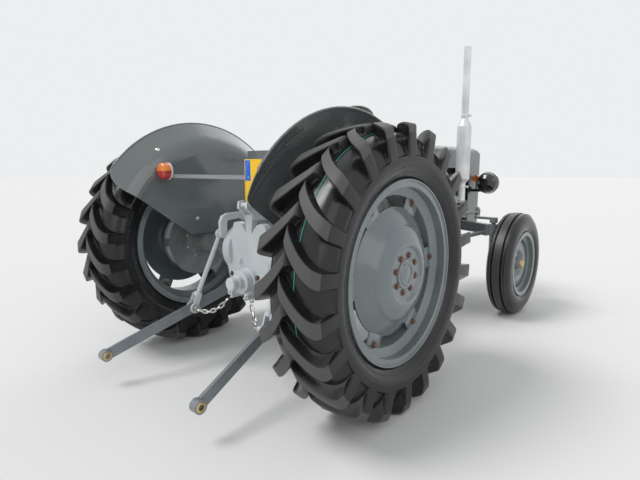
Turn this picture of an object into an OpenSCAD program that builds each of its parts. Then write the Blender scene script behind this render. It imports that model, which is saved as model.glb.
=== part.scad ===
// Vintage farm tractor, petrol engine, with a rear linkage and lugged rear tyres.
// Lengths in millimetres. X points forward, Y to the left, Z up, ground at Z = 0.
// Places are first written from a point on the ground under the rear axle.

/* [Stance] */
// Distance between the rear and front axles
wheelbase = 1778; // [1740:1:1820]
// Distance between the middles of the rear tyres
rear_track = 1422; // [1410:1:1450]
// Distance between the middles of the front tyres
front_track = 1332; // [1325:1:1360]

/* [Rear wheels] */
// Radius of the rear tyre over its lugs
rear_tyre_r = 602; // [598:1:610]
// Width of the rear tyre at its sidewalls
rear_tyre_w = 284; // [272:1:288]
// Radius of the rear rim's bead seat
rear_rim_r = 355.6; // [350:0.2:358]
// Lugs on each half of the rear tyre
lugs = 22; // [18:1:24]
// Height of a lug at its nose
lug_h = 38; // [30:1:42]
// Angle that a lug leans back from nose to shoulder
lug_lean = 14.3; // [10:0.1:18]

/* [Front wheels] */
// Radius of the front tyre
front_tyre_r = 358; // [352:1:364]
// Width of the front tyre
front_tyre_w = 165; // [155:1:170]
// Radius of the front rim's bead seat
front_rim_r = 203.2; // [200:0.2:206]

/* [Front axle and steering] */
// Distance from the centre line to a kingpin
kingpin_y = 505; // [500:1:510]
// How far the middle of the axle beam lies ahead of the kingpins
beam_sweep = 232; // [215:1:240]
// Height of the axle beam's middle
beam_z = 583; // [575:1:590]
// Depth of the axle beam
beam_h = 73; // [64:1:80]
// Radius of a kingpin
kingpin_r = 15; // [13:0.5:18]
// Length of a knuckle's steering arm
arm_len = 125; // [115:1:130]
// Length of a drop arm between its centres
drop_len = 185; // [170:1:195]
// Diameter of the steering wheel
steering_wheel_d = 457; // [420:1:470]

/* [Bonnet] */
// Width of the bonnet
bonnet_w = 430; // [420:1:440]
// Height of the bonnet's top above the ground
bonnet_top = 1190; // [1180:1:1210]
// Depth of the bonnet's side panels
bonnet_side = 162; // [150:1:175]
// Length of the bonnet from its rear edge to the nose
bonnet_len = 1233; // [1215:1:1250]
// How far the nose lies ahead of the front axle
nose_ahead = 455; // [450:1:470]
// Radius of the nose seen from the side
nose_r = 190; // [160:1:200]
// Height of the lower edge of the grille shell
shell_low = 545; // [535:1:555]
// Sheet thickness of the bonnet
sheet = 3; // [2:0.5:4]
// Vertical bars on each side of the grille
grille_bars = 9; // [6:1:11]
// Diameter of a headlamp
lamp_d = 165; // [150:1:175]

/* [Fenders] */
// Distance from the centre line to a fender's inner plate
fender_y = 420; // [415:1:430]
// Radius of the bend between a fender's plate and its flared crown
fender_bend = 130; // [110:1:150]
// Radius that rounds a fender's rear tip
fender_tip = 90; // [70:1:110]
// How far a fender's rolled lip stands out over the lug tips
fender_gap = 72; // [60:1:80]
// Sheet thickness of a fender
fender_sheet = 3; // [2:0.5:4]

/* [Exhaust] */
// Diameter of the silencer
silencer_d = 98; // [85:1:110]
// Length of the silencer
silencer_len = 448; // [400:1:470]
// Diameter of the tail pipe
tail_d = 49; // [40:1:55]
// Height of the tail pipe's top above the ground
tail_top = 1856; // [1780:1:1900]
// Distance from the centre line to the silencer
exhaust_y = 318; // [300:1:330]

/* [Seat] */
// Width of the seat pan
seat_w = 384; // [350:1:400]
// Height of the seat pan's underside
seat_z = 925; // [905:1:945]
// Height of the seat's back rim above its underside
seat_back = 185; // [160:1:200]

/* [Rear linkage] */
// Distance between the middles of the lower links' balls
link_spread = 740; // [710:1:760]
// Radius of the bore in a lower link's ball
link_bore_r = 11.1; // [10.5:0.1:12]
// Radius of a lower link's eye
link_eye_r = 27; // [25:0.5:29]
// Depth of a lower link's bar
link_h = 52; // [44:1:60]
// Radius of the lift shaft
lift_shaft_r = 24; // [20:1:27]

/* [Hidden] */
$fn = 64;

// Clearances
run = 0.05;
seat_gap = 0.3;
work_gap = 6;

// Heights and stations
rear_z = rear_tyre_r;
front_z = front_tyre_r;
rear_y = rear_track / 2;
front_y = front_track / 2;
nose_x = wheelbase + nose_ahead;
bonnet_back = nose_x - bonnet_len;
bonnet_low = bonnet_top - bonnet_side;
nose_z = bonnet_top - nose_r;
shell_back = nose_x - 258;
engine_back = wheelbase - 488;
engine_front = wheelbase + 72;
gearbox_back = 560;
fan_z = 840;
fan_r = 156;
housing_back = -110;
housing_front = gearbox_back;

// Linkage places, from the point under the rear axle
link_x = 60;
link_z = 420;
link_y = 215;
ball_x = -690;
ball_z = 150;
ball_y = link_spread / 2;
lift_x = 105;
lift_z = 745;
lift_end_x = -110;
lift_end_z = 683;
lift_y = 205;
rod_x = -262;
rod_share = (link_x - rod_x) / (link_x - ball_x);
rod_y = link_y + (ball_y - link_y) * rod_share;
rod_z = link_z + (ball_z - link_z) * rod_share;
chain_x = -165;

// Steering places
box_x = 960;
box_z = 880;
drop_y = 205;
drop_tip_z = box_z - drop_len;
arm_z = 672;
beam_x = wheelbase + beam_sweep;
column_angle = 42.6;
wheel_x = 600;
wheel_z = 1230;

// The part's middle, from the links' ends to the nose
x_mid = (nose_x + ball_x - link_eye_r) / 2;

steel = "#8f9693";
body_grey = "#7e8784";
light_grey = "#a9aeac";
black = "#1b1c1e";
silver = "#b9bcbd";
slate = "#5f676c";
lamp_red = "#b3241c";
plate_yellow = "#e2c11d";

// Moves children to the part's own origin
module placed() {
    translate([-x_mid, 0, 0]) children();
}

// Draws children on the left and again on the right
module both() {
    children();
    mirror([0, 1, 0]) children();
}

// A profile of (y, z) points carried from x0 to x1
module xprism(x0, x1) {
    translate([x0, 0, 0]) rotate([90, 0, 90]) linear_extrude(x1 - x0) children();
}

// A profile of (x, z) points carried from y0 to y1
module yprism(y0, y1) {
    translate([0, y1, 0]) rotate([90, 0, 0]) linear_extrude(y1 - y0) children();
}

// A profile of (x, y) points carried from z0 to z1
module zprism(z0, z1) {
    translate([0, 0, z0]) linear_extrude(z1 - z0) children();
}

module xbar(x0, x1, y, z, r) {
    translate([x0, y, z]) rotate([0, 90, 0]) cylinder(r = r, h = x1 - x0);
}

module ybar(y0, y1, x, z, r, turn = 0) {
    translate([x, y0, z]) rotate([-90, 0, 0]) rotate([0, 0, turn]) cylinder(r = r, h = y1 - y0);
}

module zbar(z0, z1, x, y, r) {
    translate([x, y, z0]) cylinder(r = r, h = z1 - z0);
}

module block(x0, x1, y0, y1, z0, z1) {
    translate([x0, y0, z0]) cube([x1 - x0, y1 - y0, z1 - z0]);
}

// A round bar between two points
module rod(p, q, r) {
    v = q - p;
    flat = norm([v[0], v[1]]);
    translate(p) rotate([0, atan2(flat, v[2]), atan2(v[1], v[0])]) cylinder(r = r, h = norm(v));
}

// A flat-sided bar between two points, thin across Y
module flat_bar(p, q, wide, deep) {
    v = q - p;
    turn = atan2(v[1], v[0]);
    rise = atan2(v[2], norm([v[0], v[1]]));
    translate(p) rotate([0, -rise, turn]) translate([0, -wide / 2, -deep / 2])
        cube([norm(v), wide, deep]);
}

// Revolves a profile of (radius, y) about an axle along Y
module about_y(x, z) {
    translate([x, 0, z]) rotate([-90, 0, 0]) rotate_extrude($fn = 96) children();
}

// Rear tyre: rings of points from the bead out to the lugs' noses, one set a side
tyre_half = rear_tyre_w / 2;
bead_y = 105.7;
carcass_r = rear_tyre_r - lug_h;
pitch = 360 / lugs;
wall_at = [0, 0.45];
lug_at = [0, 0.05, 0.34, 0.39];
// Each wall ring: distance from the tyre's middle, radius
wall_rings = [
    [bead_y, rear_rim_r + 1.6],
    [bead_y, rear_rim_r + 29],
    [tyre_half, rear_rim_r + 114],
    [tyre_half - 4, carcass_r - 19]];
// Each tread ring: distance and radius in the valleys, then on the lugs
tread_rings = [
    [tyre_half - 6, carcass_r - 7, tyre_half - 9, rear_tyre_r - 12],
    [70, carcass_r - 1, 70, rear_tyre_r - 1],
    [40, carcass_r, -12, rear_tyre_r],
    [18, carcass_r, -15, carcass_r]];
flat_middle = 20;

function lean(y) = lug_lean * max(0, y - flat_middle) / (tyre_half - flat_middle);
function spot(side, y, r, turns, skew) =
    let (a = (turns + (side < 0 ? 0.5 : 0)) * pitch + skew)
    [r * cos(a), side * y, r * sin(a)];
function wall_ring(side, w) =
    [for (i = [0 : lugs - 1], s = wall_at) spot(side, w[0], w[1], i + s, lug_lean)];
function tread_ring(side, t) =
    [for (i = [0 : lugs - 1], j = [0 : 3])
        let (high = (j == 1 || j == 2), y = high ? t[2] : t[0], r = high ? t[3] : t[1])
        spot(side, y, r, i + lug_at[j], lean(y))];
function half_points(side) = concat(
    [for (w = wall_rings, p = wall_ring(side, w)) p],
    [for (t = tread_rings, p = tread_ring(side, t)) p]);
function facing(list, flip) = [for (f = list) flip ? [f[0], f[2], f[1]] : f];
// Triangles between two rings of n points that start at a and b
function band(a, b, n) = [for (i = [0 : n - 1], half = [0, 1])
    let (j = (i + 1) % n)
    half == 0 ? [a + i, a + j, b + j] : [a + i, b + j, b + i]];
// Triangles between the last wall ring and the first tread ring
function shoulder(a, b) = [for (i = [0 : lugs - 1], k = [0 : 5])
    let (w = a + 2 * i, w2 = a + (2 * i + 2) % (2 * lugs), t = b + 4 * i,
        t2 = b + (4 * i + 4) % (4 * lugs),
        fan = [[w, t + 1, t], [w, t + 2, t + 1], [w, w + 1, t + 2], [w + 1, t + 3, t + 2],
            [w + 1, t2, t + 3], [w + 1, w2, t2]])
    fan[k]];
// Triangles along the middle, between the left noses from a and the right ones from b
function middle(a, b) = [for (i = [0 : lugs - 1], k = [0 : 7])
    let (l = a + 4 * i, l4 = a + (4 * i + 4) % (4 * lugs),
        r = b + 4 * i, r0 = b + (4 * i + 4 * lugs - 1) % (4 * lugs),
        fan = [[l, l + 1, r0], [l + 1, l + 2, r0], [l + 2, r, r0], [l + 2, l + 3, r],
            [l + 3, r + 1, r], [l + 3, r + 2, r + 1], [l + 3, l4, r + 2], [l4, r + 3, r + 2]])
    fan[k]];
function inside(a, b, n) = [for (i = [0 : n - 1], half = [0, 1])
    let (j = (i + 1) % n, ri = (i + n - 1) % n, rj = i)
    half == 0 ? [a + i, a + j, b + rj] : [a + i, b + rj, b + ri]];
function half_faces(o) = concat(
    [for (k = [0 : 2]) each band(o + 2 * lugs * k, o + 2 * lugs * (k + 1), 2 * lugs)],
    shoulder(o + 6 * lugs, o + 8 * lugs),
    [for (k = [0 : 2]) each band(o + 4 * lugs * (k + 2), o + 4 * lugs * (k + 3), 4 * lugs)]);

half_count = 24 * lugs;

module rear_tyre() {
    polyhedron(
        points = concat(half_points(1), half_points(-1)),
        faces = concat(
            facing(half_faces(0), true),
            facing(half_faces(half_count), false),
            facing(middle(20 * lugs, half_count + 20 * lugs), true),
            inside(0, half_count, 2 * lugs)),
        convexity = 10);
}

rim_sheet = 6;
flange_y = bead_y + seat_gap;
well_r = rear_rim_r - 34;

// Rim with a dropped well, and the six brackets that the disc is bolted to
module rear_rim() {
    t = rim_sheet;
    about_y(0, 0) polygon([
        [rear_rim_r + 25, flange_y], [rear_rim_r + 25, flange_y + 12],
        [rear_rim_r + 19, flange_y + 12], [rear_rim_r + 17, flange_y + t],
        [rear_rim_r - t, flange_y + t], [rear_rim_r - t, 76], [well_r - t, 56],
        [well_r - t, -56], [rear_rim_r - t, -76], [rear_rim_r - t, -flange_y - t],
        [rear_rim_r + 17, -flange_y - t], [rear_rim_r + 19, -flange_y - 12],
        [rear_rim_r + 25, -flange_y - 12], [rear_rim_r + 25, -flange_y],
        [rear_rim_r, -flange_y], [rear_rim_r, -72], [well_r, -52], [well_r, 52],
        [rear_rim_r, 72], [rear_rim_r, flange_y]]);
    for (i = [0 : 5]) rotate([0, -4 - 60 * i, 0])
        difference() {
            block(well_r - 34, well_r - 2, 43, 51, -32, 32);
            ybar(42, 52, disc_bolt_r, 0, 8.5);
        }
}

disc_bolt_r = rear_rim_r - 50.6;
disc_edge_r = rear_rim_r - 41.6;
cone_r = rear_rim_r - 87.6;

// Dished disc: hub face, raised shoulder, cone and bolting edge, as (radius, y)
module rear_disc() {
    difference() {
        union() {
            about_y(0, 0) polygon([
                [0, 95], [108, 95], [112, 98], [121, 109], [128, 112], [204, 112], [215, 107],
                [223, 97], [cone_r - 6, 62], [cone_r, 60], [cone_r, 51], [cone_r - 9, 51],
                [214, 91], [209, 99], [200, 104], [130, 104], [124, 101], [114, 88], [108, 87],
                [0, 87]]);
            for (i = [0 : 5]) rotate([0, -4 - 60 * i, 0]) intersection() {
                about_y(0, 0) polygon([[cone_r - 5, 51.5], [disc_edge_r, 51.5],
                    [disc_edge_r, 58.5], [cone_r - 5, 58.5]]);
                block(cone_r - 20, disc_edge_r + 16, 40, 70, -48, 48);
            }
            ybar(90, 99, 0, 0, 45);
        }
        for (i = [0 : 5]) rotate([0, -4 - 60 * i, 0]) ybar(45, 65, disc_bolt_r, 0, 8.5);
    }
}

shaft_r = 35;
trumpet_r = 65;
trumpet_end = rear_y - 135;
flange_in = 190;

// Disc, hub flange, brake drum and half shaft, which turn together
module rear_hub() {
    rear_disc();
    about_y(0, 0) polygon([
        [0, trumpet_end - 40 - rear_y], [shaft_r, trumpet_end - 40 - rear_y],
        [shaft_r, trumpet_end + 18 - rear_y], [188, trumpet_end + 18 - rear_y],
        [192, trumpet_end + 24 - rear_y], [192, -61], [182, -49], [70, -49], [60, 40],
        [100, 60], [100, 87.5], [0, 87.5]]);
}

module rear_wheel_place(side) {
    mirror([0, side < 0 ? 1 : 0, 0]) translate([0, rear_y, rear_z]) children();
}

front_bead_y = 60;
front_flange_r = front_rim_r + 20;

// Three-rib front tyre, as (radius, y)
module front_tyre() {
    h = front_tyre_w / 2;
    r = front_tyre_r;
    b = front_rim_r + 0.6;
    about_y(0, 0) polygon([
        [b, -front_bead_y], [b + 20, -front_bead_y - 3], [b + 48, -h + 2], [b + 76, -h],
        [b + 104, -h + 5], [r - 22, -h + 18], [r - 5, -50], [r - 5, -40], [r - 18, -36],
        [r - 18, -26], [r - 1, -22], [r, -12], [r, 12], [r - 1, 22], [r - 18, 26],
        [r - 18, 36], [r - 5, 40], [r - 5, 50], [r - 22, h - 18], [b + 104, h - 5],
        [b + 76, h], [b + 48, h - 2], [b + 20, front_bead_y + 3], [b, front_bead_y]]);
}

hub_bore_r = 20;

// Front rim, dished disc and hub with its bearing bore, as (radius, y)
module front_rim() {
    r = front_rim_r;
    f = front_bead_y + 3.3;
    difference() {
        union() {
            about_y(0, 0) polygon([
                [front_flange_r, f], [front_flange_r + 3, f + 6], [front_flange_r, f + 9],
                [r - 4, f + 6], [r - 4, 42], [r - 30, 34], [r - 30, -34], [r - 4, -42],
                [r - 4, -f - 6], [front_flange_r, -f - 9], [front_flange_r + 3, -f - 6],
                [front_flange_r, -f], [r, -f], [r, -38], [r - 26, -30], [r - 26, 30],
                [r, 38], [r, f]]);
            about_y(0, 0) polygon([
                [30, -8], [70, -8], [82, 2], [96, 20], [120, 28], [150, 22], [r - 29, 6],
                [r - 29, 14], [152, 30], [120, 36], [92, 28], [76, 8], [66, 0], [30, 0]]);
            about_y(0, 0) polygon([
                [0, -62], [48, -62], [50, -40], [56, -30], [56, -8], [44, 0], [44, 22],
                [36, 42], [30, 50], [0, 52]]);
        }
        ybar(-63, 30, 0, 0, hub_bore_r + run);
    }
}

module front_wheel_place(side) {
    mirror([0, side < 0 ? 1 : 0, 0]) translate([wheelbase, front_y, front_z]) children();
}

// Kingpin, steering arm and stub axle of one side
module knuckle() {
    tip_y = kingpin_y - arm_len;
    zbar(front_z - 46, beam_z + 62, wheelbase, kingpin_y, kingpin_r);
    zbar(front_z - 46, beam_z - beam_h / 2 - 3.5, wheelbase, kingpin_y, kingpin_r + 11);
    ybar(kingpin_y, front_y + 22, wheelbase, front_z, hub_bore_r);
    ybar(kingpin_y, front_y - 66, wheelbase, front_z, 30);
    zbar(beam_z + 50, arm_z, wheelbase, kingpin_y, 28);
    zprism(arm_z - 17, arm_z) polygon([
        [wheelbase - 24, kingpin_y + 6], [wheelbase + 24, kingpin_y + 6],
        [wheelbase + 20, tip_y], [wheelbase - 10, tip_y]]);
    zbar(arm_z - 17, arm_z, wheelbase + 5, tip_y, 20);
}

boss_r = 32;

// Swept axle beam with its pivot eye, kingpin bosses and radius rods
module front_axle() color(body_grey) placed() {
    run_len = norm([beam_sweep, kingpin_y]);
    turn = atan2(kingpin_y, -beam_sweep);
    half_h = beam_h / 2;
    difference() {
        union() {
            both() translate([beam_x, 0, beam_z]) rotate([0, 0, turn]) difference() {
                block(-10, run_len - 20, -28, 28, -half_h, half_h);
                block(60, run_len - 50, 12, 40, -half_h + 11, half_h - 11);
                block(60, run_len - 50, -40, -12, -half_h + 11, half_h - 11);
            }
            both() zbar(beam_z - half_h - 3, beam_z + half_h + 3, wheelbase, kingpin_y, boss_r);
            xbar(beam_x - 34, beam_x + 34, 0, beam_z, 40);
            both() rod([wheelbase + 22, 440, beam_z - 23], [1010, 146, 470], 16);
            both() translate([1010, 146, 470]) sphere(r = 22);
            both() block(wheelbase + 2, wheelbase + 52, 424, 460, beam_z - 50, beam_z - 20);
        }
        both() zbar(beam_z - beam_h, beam_z + beam_h, wheelbase, kingpin_y, kingpin_r + run);
        xbar(beam_x - 70, beam_x + 70, 0, beam_z, 16 + run);
        both() for (k = [0 : 4]) translate([beam_x, 0, beam_z]) rotate([0, 0, turn])
            ybar(-20, 20, run_len - 230 + 32 * k, 0, 8);
    }
}

support_top = beam_z + 92;
support_end = wheelbase + 318;
hinge_x = wheelbase + 392;
hinge_z = shell_low + 30;
hinge_r = 12;

// Casting ahead of the engine: carries the axle's pivot pin and the bonnet's hinge tube
module front_support() color(body_grey) placed() {
    intersection() {
        xprism(engine_front, support_end) polygon([[-105, 622], [-85, 596], [85, 596], [105, 622],
            [105, support_top], [-105, support_top]]);
        yprism(-120, 120) polygon([[engine_front, 480], [engine_front + 20, 480],
            [engine_front + 50, beam_z + 44], [support_end, beam_z + 44],
            [support_end, support_top], [engine_front, support_top]]);
    }
    block(beam_x - 64, beam_x - 46, -26, 26, beam_z - 36, 640);
    block(beam_x + 38, beam_x + 56, -34, 34, beam_z - 36, 640);
    xbar(beam_x - 68, beam_x + 60, 0, beam_z, 16);
    both() yprism(86, 98) polygon([[support_end - 16, 640], [support_end - 16, 612],
        [hinge_x - 12, hinge_z - 12], [hinge_x + 12, hinge_z - 12], [hinge_x + 12, hinge_z + 14],
        [support_end, 650]]);
    ybar(-130, 130, hinge_x, hinge_z, hinge_r);
}

// Petrol engine: crankcase, head, cover, manifold, carburettor, dynamo, filter, distributor
module engine() color(body_grey) placed() {
    xprism(engine_back, engine_front) polygon([
        [-90, 400], [90, 400], [112, 430], [118, 520], [140, 540], [140, 640], [118, 660],
        [118, 850], [-118, 850], [-118, 660], [-140, 640], [-140, 540], [-118, 520], [-112, 430]]);
    block(engine_back + 20, engine_front - 20, -105, 105, 850, 930);
    xprism(engine_back + 50, engine_front - 60) polygon([
        [-70, 930], [70, 930], [70, 975], [50, 995], [-50, 995], [-70, 975]]);
    for (k = [0 : 3]) zbar(929, 965, engine_back + 110 + 110 * k, -88, 13);
    for (k = [0 : 3]) ybar(-152, -100, engine_back + 95 + 112 * k, 800, 26);
    xbar(engine_back + 70, engine_back + 460, -150, 800, 30);
    xbar(engine_back + 180, engine_back + 270, -196, 742, 34);
    ybar(-196, -118, engine_back + 225, 742, 22);
    xbar(engine_front - 250, engine_front - 40, 178, 700, 52);
    block(engine_front - 230, engine_front - 60, 110, 140, 690, 712);
    zbar(560, 730, engine_back + 180, 168, 42);
    block(engine_back + 165, engine_back + 195, 118, 150, 660, 720);
    zbar(740, 850, engine_back + 330, 150, 26);
    zbar(848, 900, engine_back + 330, 150, 36);
    ybar(110, 150, engine_back + 330, 770, 20);
    xbar(engine_front, engine_front + 26, 0, fan_z, 42);
    xbar(engine_front, engine_front + 22, 0, 560, 30);
}

// Fan on the water pump's shaft
module fan() color(steel) placed() {
    xbar(engine_front + 26, engine_front + 92, 0, fan_z, 26);
    xbar(engine_front + 92, engine_front + 110, 0, fan_z, 44);
    for (k = [0 : 3]) translate([engine_front + 101, 0, fan_z]) rotate([90 * k + 20, 0, 0])
        rotate([0, 0, 32]) block(-2, 2, -30, 30, 30, fan_r);
}

module radiator() color(black) placed() {
    x0 = wheelbase + 242;
    x1 = x0 + 72;
    block(x0 + 8, x1 - 8, -180, 180, support_top + 40, 1040);
    block(x0, x1, -190, 190, support_top, support_top + 60);
    block(x0, x1, -190, 190, 1020, 1090);
    both() block(x0 + 2, x1 - 2, 178, 190, support_top + 50, 1030);
    xbar(x0 - 40, x0 + 2, 0, 1052, 24);
    for (k = [0 : 22])
        block(x0 + 4, x1 - 4, -179, 179, support_top + 72 + 12 * k, support_top + 75 + 12 * k);
}

module fuel_tank() color(body_grey) placed() {
    x0 = bonnet_back + 270;
    x1 = wheelbase + 102;
    xprism(x0, x1) polygon([
        [-150, 1030], [150, 1030], [165, 1045], [165, 1110], [130, 1150], [-130, 1150],
        [-165, 1110], [-165, 1045]]);
    both() block(x0 + 60, x0 + 100, 78, 100, 930, 1031);
    both() block(x1 - 120, x1 - 80, 78, 100, 930, 1031);
    zbar(1149, 1172, x0 + 230, 0, 34);
}

module battery() color(black) placed() {
    x = bonnet_back + 64;
    block(x, x + 162, -118, 118, 960, 1130);
    both() zbar(1129, 1146, x + 36, 80, 9);
    block(x - 8, x + 172, -130, 130, 948, 961);
    both() block(x + 66, x + 96, 60, 100, 800, 949);
}

// Gearbox and clutch housing
module gearbox() color(body_grey) placed() {
    intersection() {
        xprism(gearbox_back, engine_back) polygon([
            [-100, 430], [100, 430], [150, 480], [195, 560], [195, 700], [150, 800],
            [-150, 800], [-195, 700], [-195, 560], [-150, 480]]);
        zprism(400, 820) polygon([
            [gearbox_back, -150], [gearbox_back + 40, -120], [1080, -120], [1180, -190],
            [engine_back, -190], [engine_back, 190], [1180, 190], [1080, 120],
            [gearbox_back + 40, 120], [gearbox_back, 150]]);
        yprism(-200, 200) polygon([
            [gearbox_back, 450], [1100, 450], [1180, 420], [engine_back, 420], [engine_back, 800],
            [1000, 800], [960, 770], [gearbox_back, 770]]);
    }
    both() block(994, 1034, 90, 123.7, 456, 500);
    both() block(gearbox_back, gearbox_back + 24, 0, 158, 470, 740);
    both() block(engine_back - 24, engine_back, 0, 200, 440, 780);
}

housing_top = 700;
chain_pin_y = 64;
chain_pin_z = 412;
shackle_y = chain_pin_y + 12;
shackle_z = chain_pin_z - 34;

// Centre and rear housing with the brackets of the links and chains
module rear_housing() color(light_grey) placed() {
    intersection() {
        xprism(housing_back, 300) polygon([
            [-130, 420], [130, 420], [165, 490], [188, 592], [154, 682], [137, housing_top],
            [-137, housing_top], [-154, 682], [-188, 592], [-165, 490]]);
        yprism(-190, 190) polygon([
            [housing_back, 440], [housing_back + 20, 420], [300, 420], [300, housing_top],
            [housing_back, housing_top]]);
    }
    intersection() {
        xprism(299, housing_front) polygon([
            [-110, 430], [110, 430], [150, 480], [150, 640], [125, 738], [-125, 738],
            [-150, 640], [-150, 480]]);
        yprism(-160, 160) polygon([[299, 420], [340, 450], [housing_front, 450],
            [housing_front, 738], [330, 738], [299, housing_top]]);
    }
    both() block(housing_front - 26, housing_front, 0, 158, 470, 738);
    both() ybar(140, flange_in, 0, rear_z, 130);
    both() ybar(120, link_y - 24, link_x, link_z + 14, 32);
    both() ybar(120, link_y + 24, link_x, link_z, 14);
    both() block(link_x - 30, link_x + 30, 100, 180, link_z - 18, 470);
    both() block(-105, -60, chain_pin_y - 20, chain_pin_y + 14, 384, 426);
    both() block(chain_x - 24, -60, chain_pin_y - 20, chain_pin_y - 13, 384, 402);
    both() for (x = [chain_x - 24, chain_x + 18])
        block(x, x + 6, chain_pin_y - 20, chain_pin_y + 12, 396, 422);
    both() xbar(chain_x - 24, chain_x + 24, chain_pin_y, chain_pin_z, 5);
    both() for (s = [-1, 1])
        rod([chain_x + s * 8, chain_pin_y, chain_pin_z], [chain_x + s * 8, shackle_y, shackle_z], 3.5);
    both() xbar(chain_x - 11.5, chain_x + 11.5, shackle_y, shackle_z, 3.5);
}

// Trumpet housings with brake back plates
module axle_trumpets() color(light_grey) placed() {
    both() difference() {
        about_y(0, rear_z) polygon([
            [0, flange_in], [94, flange_in], [94, flange_in + 18], [84, flange_in + 26],
            [70, 330], [trumpet_r, 340], [trumpet_r, trumpet_end - 20], [90, trumpet_end - 10],
            [90, trumpet_end], [0, trumpet_end]]);
        ybar(trumpet_end - 60, trumpet_end + 1, 0, rear_z, shaft_r + run);
    }
    both() difference() {
        ybar(trumpet_end, trumpet_end + 8, 0, rear_z, 200);
        ybar(trumpet_end - 1, trumpet_end + 9, 0, rear_z, shaft_r + 6);
    }
}

// Hydraulic lift cover with the lift shaft's bosses and the top link's yoke and pin
module lift_cover() color(light_grey) placed() {
    difference() {
        union() {
            both() xprism(housing_back, housing_back + 34) polygon([
                [16, housing_top], [137, housing_top], [112, 753], [84, 757], [58, 748]]);
            xprism(housing_back, housing_back + 34) polygon([
                [-18, housing_top], [18, housing_top], [27, 790], [20, 797], [-20, 797], [-27, 790]]);
            xprism(10, 298) polygon([
                [-118, housing_top], [118, housing_top], [118, 780], [96, 806], [-96, 806], [-118, 780]]);
            block(housing_back + 30, 14, -14, 14, housing_top, 785);
            both() block(housing_back + 30, 14, 72, 96, housing_top, 738);
            both() ybar(60, lift_y - 24, lift_x, lift_z, 36);
            block(-100, 14, -36, 36, 770, 797);
            both() yprism(24, 36) polygon([[-152, 830], [-146, 864], [-116, 868], [-50, 797],
                [-50, 772], [-100, 772], [-122, 806]]);
            ybar(-44, 44, -130, 846, 11);
            both() zbar(805, 818, 260, 80, 14);
        }
        ybar(-300, 300, lift_x, lift_z, lift_shaft_r + run);
    }
}

// Revolves a profile of (radius, distance back) about an axle that runs backwards along X
module about_x(x, z) {
    translate([x, 0, z]) rotate([0, -90, 0]) rotate_extrude() children();
}

// Bolted plate, barrel and cap of the power take-off
module pto_cover() color(light_grey) placed() {
    xprism(housing_back - 12, housing_back) polygon([
        [-118, 430], [118, 430], [152, 488], [140, 505], [-140, 505], [-152, 488]]);
    about_x(housing_back, 467) polygon([
        [0, 0], [66, 0], [66, 24], [58, 28], [58, 65], [38, 68], [38, 90], [33, 94],
        [33, 126], [26, 130], [0, 130]]);
}

module footrests() color(body_grey) placed() {
    both() {
        block(560, 850, 200, 430, 428, 434);
        block(560, 566, 200, 430, 420, 450);
        block(844, 850, 200, 430, 420, 450);
        for (k = [0 : 5]) block(602 + 40 * k, 614 + 40 * k, 210, 408, 433.5, 444);
        block(640, 690, 120, 206, 434, 474);
        block(780, 830, 120, 206, 434, 474);
    }
}

// Gear lever, hydraulic lever and pedals
module controls() color(black) placed() {
    zbar(770, 800, 640, 0, 44);
    rod([640, 0, 795], [608, 0, 950], 9);
    translate([608, 0, 955]) sphere(r = 21);
    block(180, 240, -136, -118, 740, 790);
    zbar(785, 900, 200, -127, 8);
    translate([200, -127, 904]) sphere(r = 17);
    both() ybar(120, 180, 900, 520, 14);
    both() flat_bar([900, 170, 520], [800, 205, 640], 12, 34);
    both() flat_bar([806, 203, 634], [772, 225, 650], 70, 40);
}

// Instrument panel behind the bonnet
module dash() color(body_grey) placed() {
    x = bonnet_back - 8;
    difference() {
        intersection() {
            xprism(x - 62, x) polygon([
                [-196, 946], [196, 946], [200, 1120], [170, 1176], [-170, 1176], [-200, 1120]]);
            yprism(-210, 210) polygon([[x - 34, 946], [x, 946], [x, 1180], [x - 62, 1180],
                [x - 60, 1040]]);
        }
        block(x - 30, x + 1, -180, 180, 958, 1150);
    }
    both() block(x + 10, x + 50, 100, 112, 800, 960);
    both() block(x - 12, x + 50, 100, 112, 946, 960);
}

// A point of the steering column, d below the steering wheel's middle
function column_point(d) =
    [wheel_x + d * cos(column_angle), 0, wheel_z - d * sin(column_angle)];
column_r = 17;

// Steering box on the clutch housing, with its cross shaft and the column
module steering_box() color(body_grey) placed() {
    xprism(900, 1050) polygon([
        [-60, 800.3], [60, 800.3], [60, 900], [40, 928], [-40, 928], [-60, 900]]);
    block(1000, 1050, -60, 60, 800, 802);
    ybar(-drop_y + 14, drop_y - 14, box_x, box_z, 30);
    ybar(-drop_y - 14, drop_y + 14, box_x, box_z, 18);
    rod(column_point(516), column_point(3), column_r);
}

seat_x = 150;

// Sheet-metal pan seat on its spring
module seat() color(body_grey) placed() {
    r = seat_w / 2;
    t = 4;
    z0 = seat_z;
    b = seat_back;
    intersection() {
        translate([seat_x, 0, z0]) rotate_extrude($fn = 96) polygon([
            [0, 0], [r - 70, 0], [r - 34, 14], [r - 8, 52], [r, b * 0.62], [r + 4, b], [r, b],
            [r - t, b * 0.62], [r - 8 - t, 54], [r - 37, 17], [r - 71, t], [0, t]]);
        yprism(-250, 250) polygon([
            [-100, z0 - 5], [360, z0 - 5], [360, z0 + 38], [250, z0 + 50], [120, z0 + 70],
            [50, z0 + b], [-100, z0 + b]]);
    }
    yprism(-30, 30) polygon([[110, 806], [200, 806], [200, 814], [122, 814], [118, 826],
        [190, z0 - 8], [200, z0 + 0.5], [120, z0 + 0.5], [120, z0 - 8], [172, z0 - 8],
        [104, 830], [104, 812]]);
}

lip_r = rear_tyre_r + fender_gap;
bend_r = lip_r - 169;
bend_turn = 48;
fender_base = rear_z + trumpet_r;
base_x = -157;
base_slope = 35.4;

// A point of the fender's section, d from the bend's middle at a turn from the plate
function bend_at(d, turn) = [bend_r + d * sin(turn), fender_y + fender_bend - d * cos(turn)];
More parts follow.
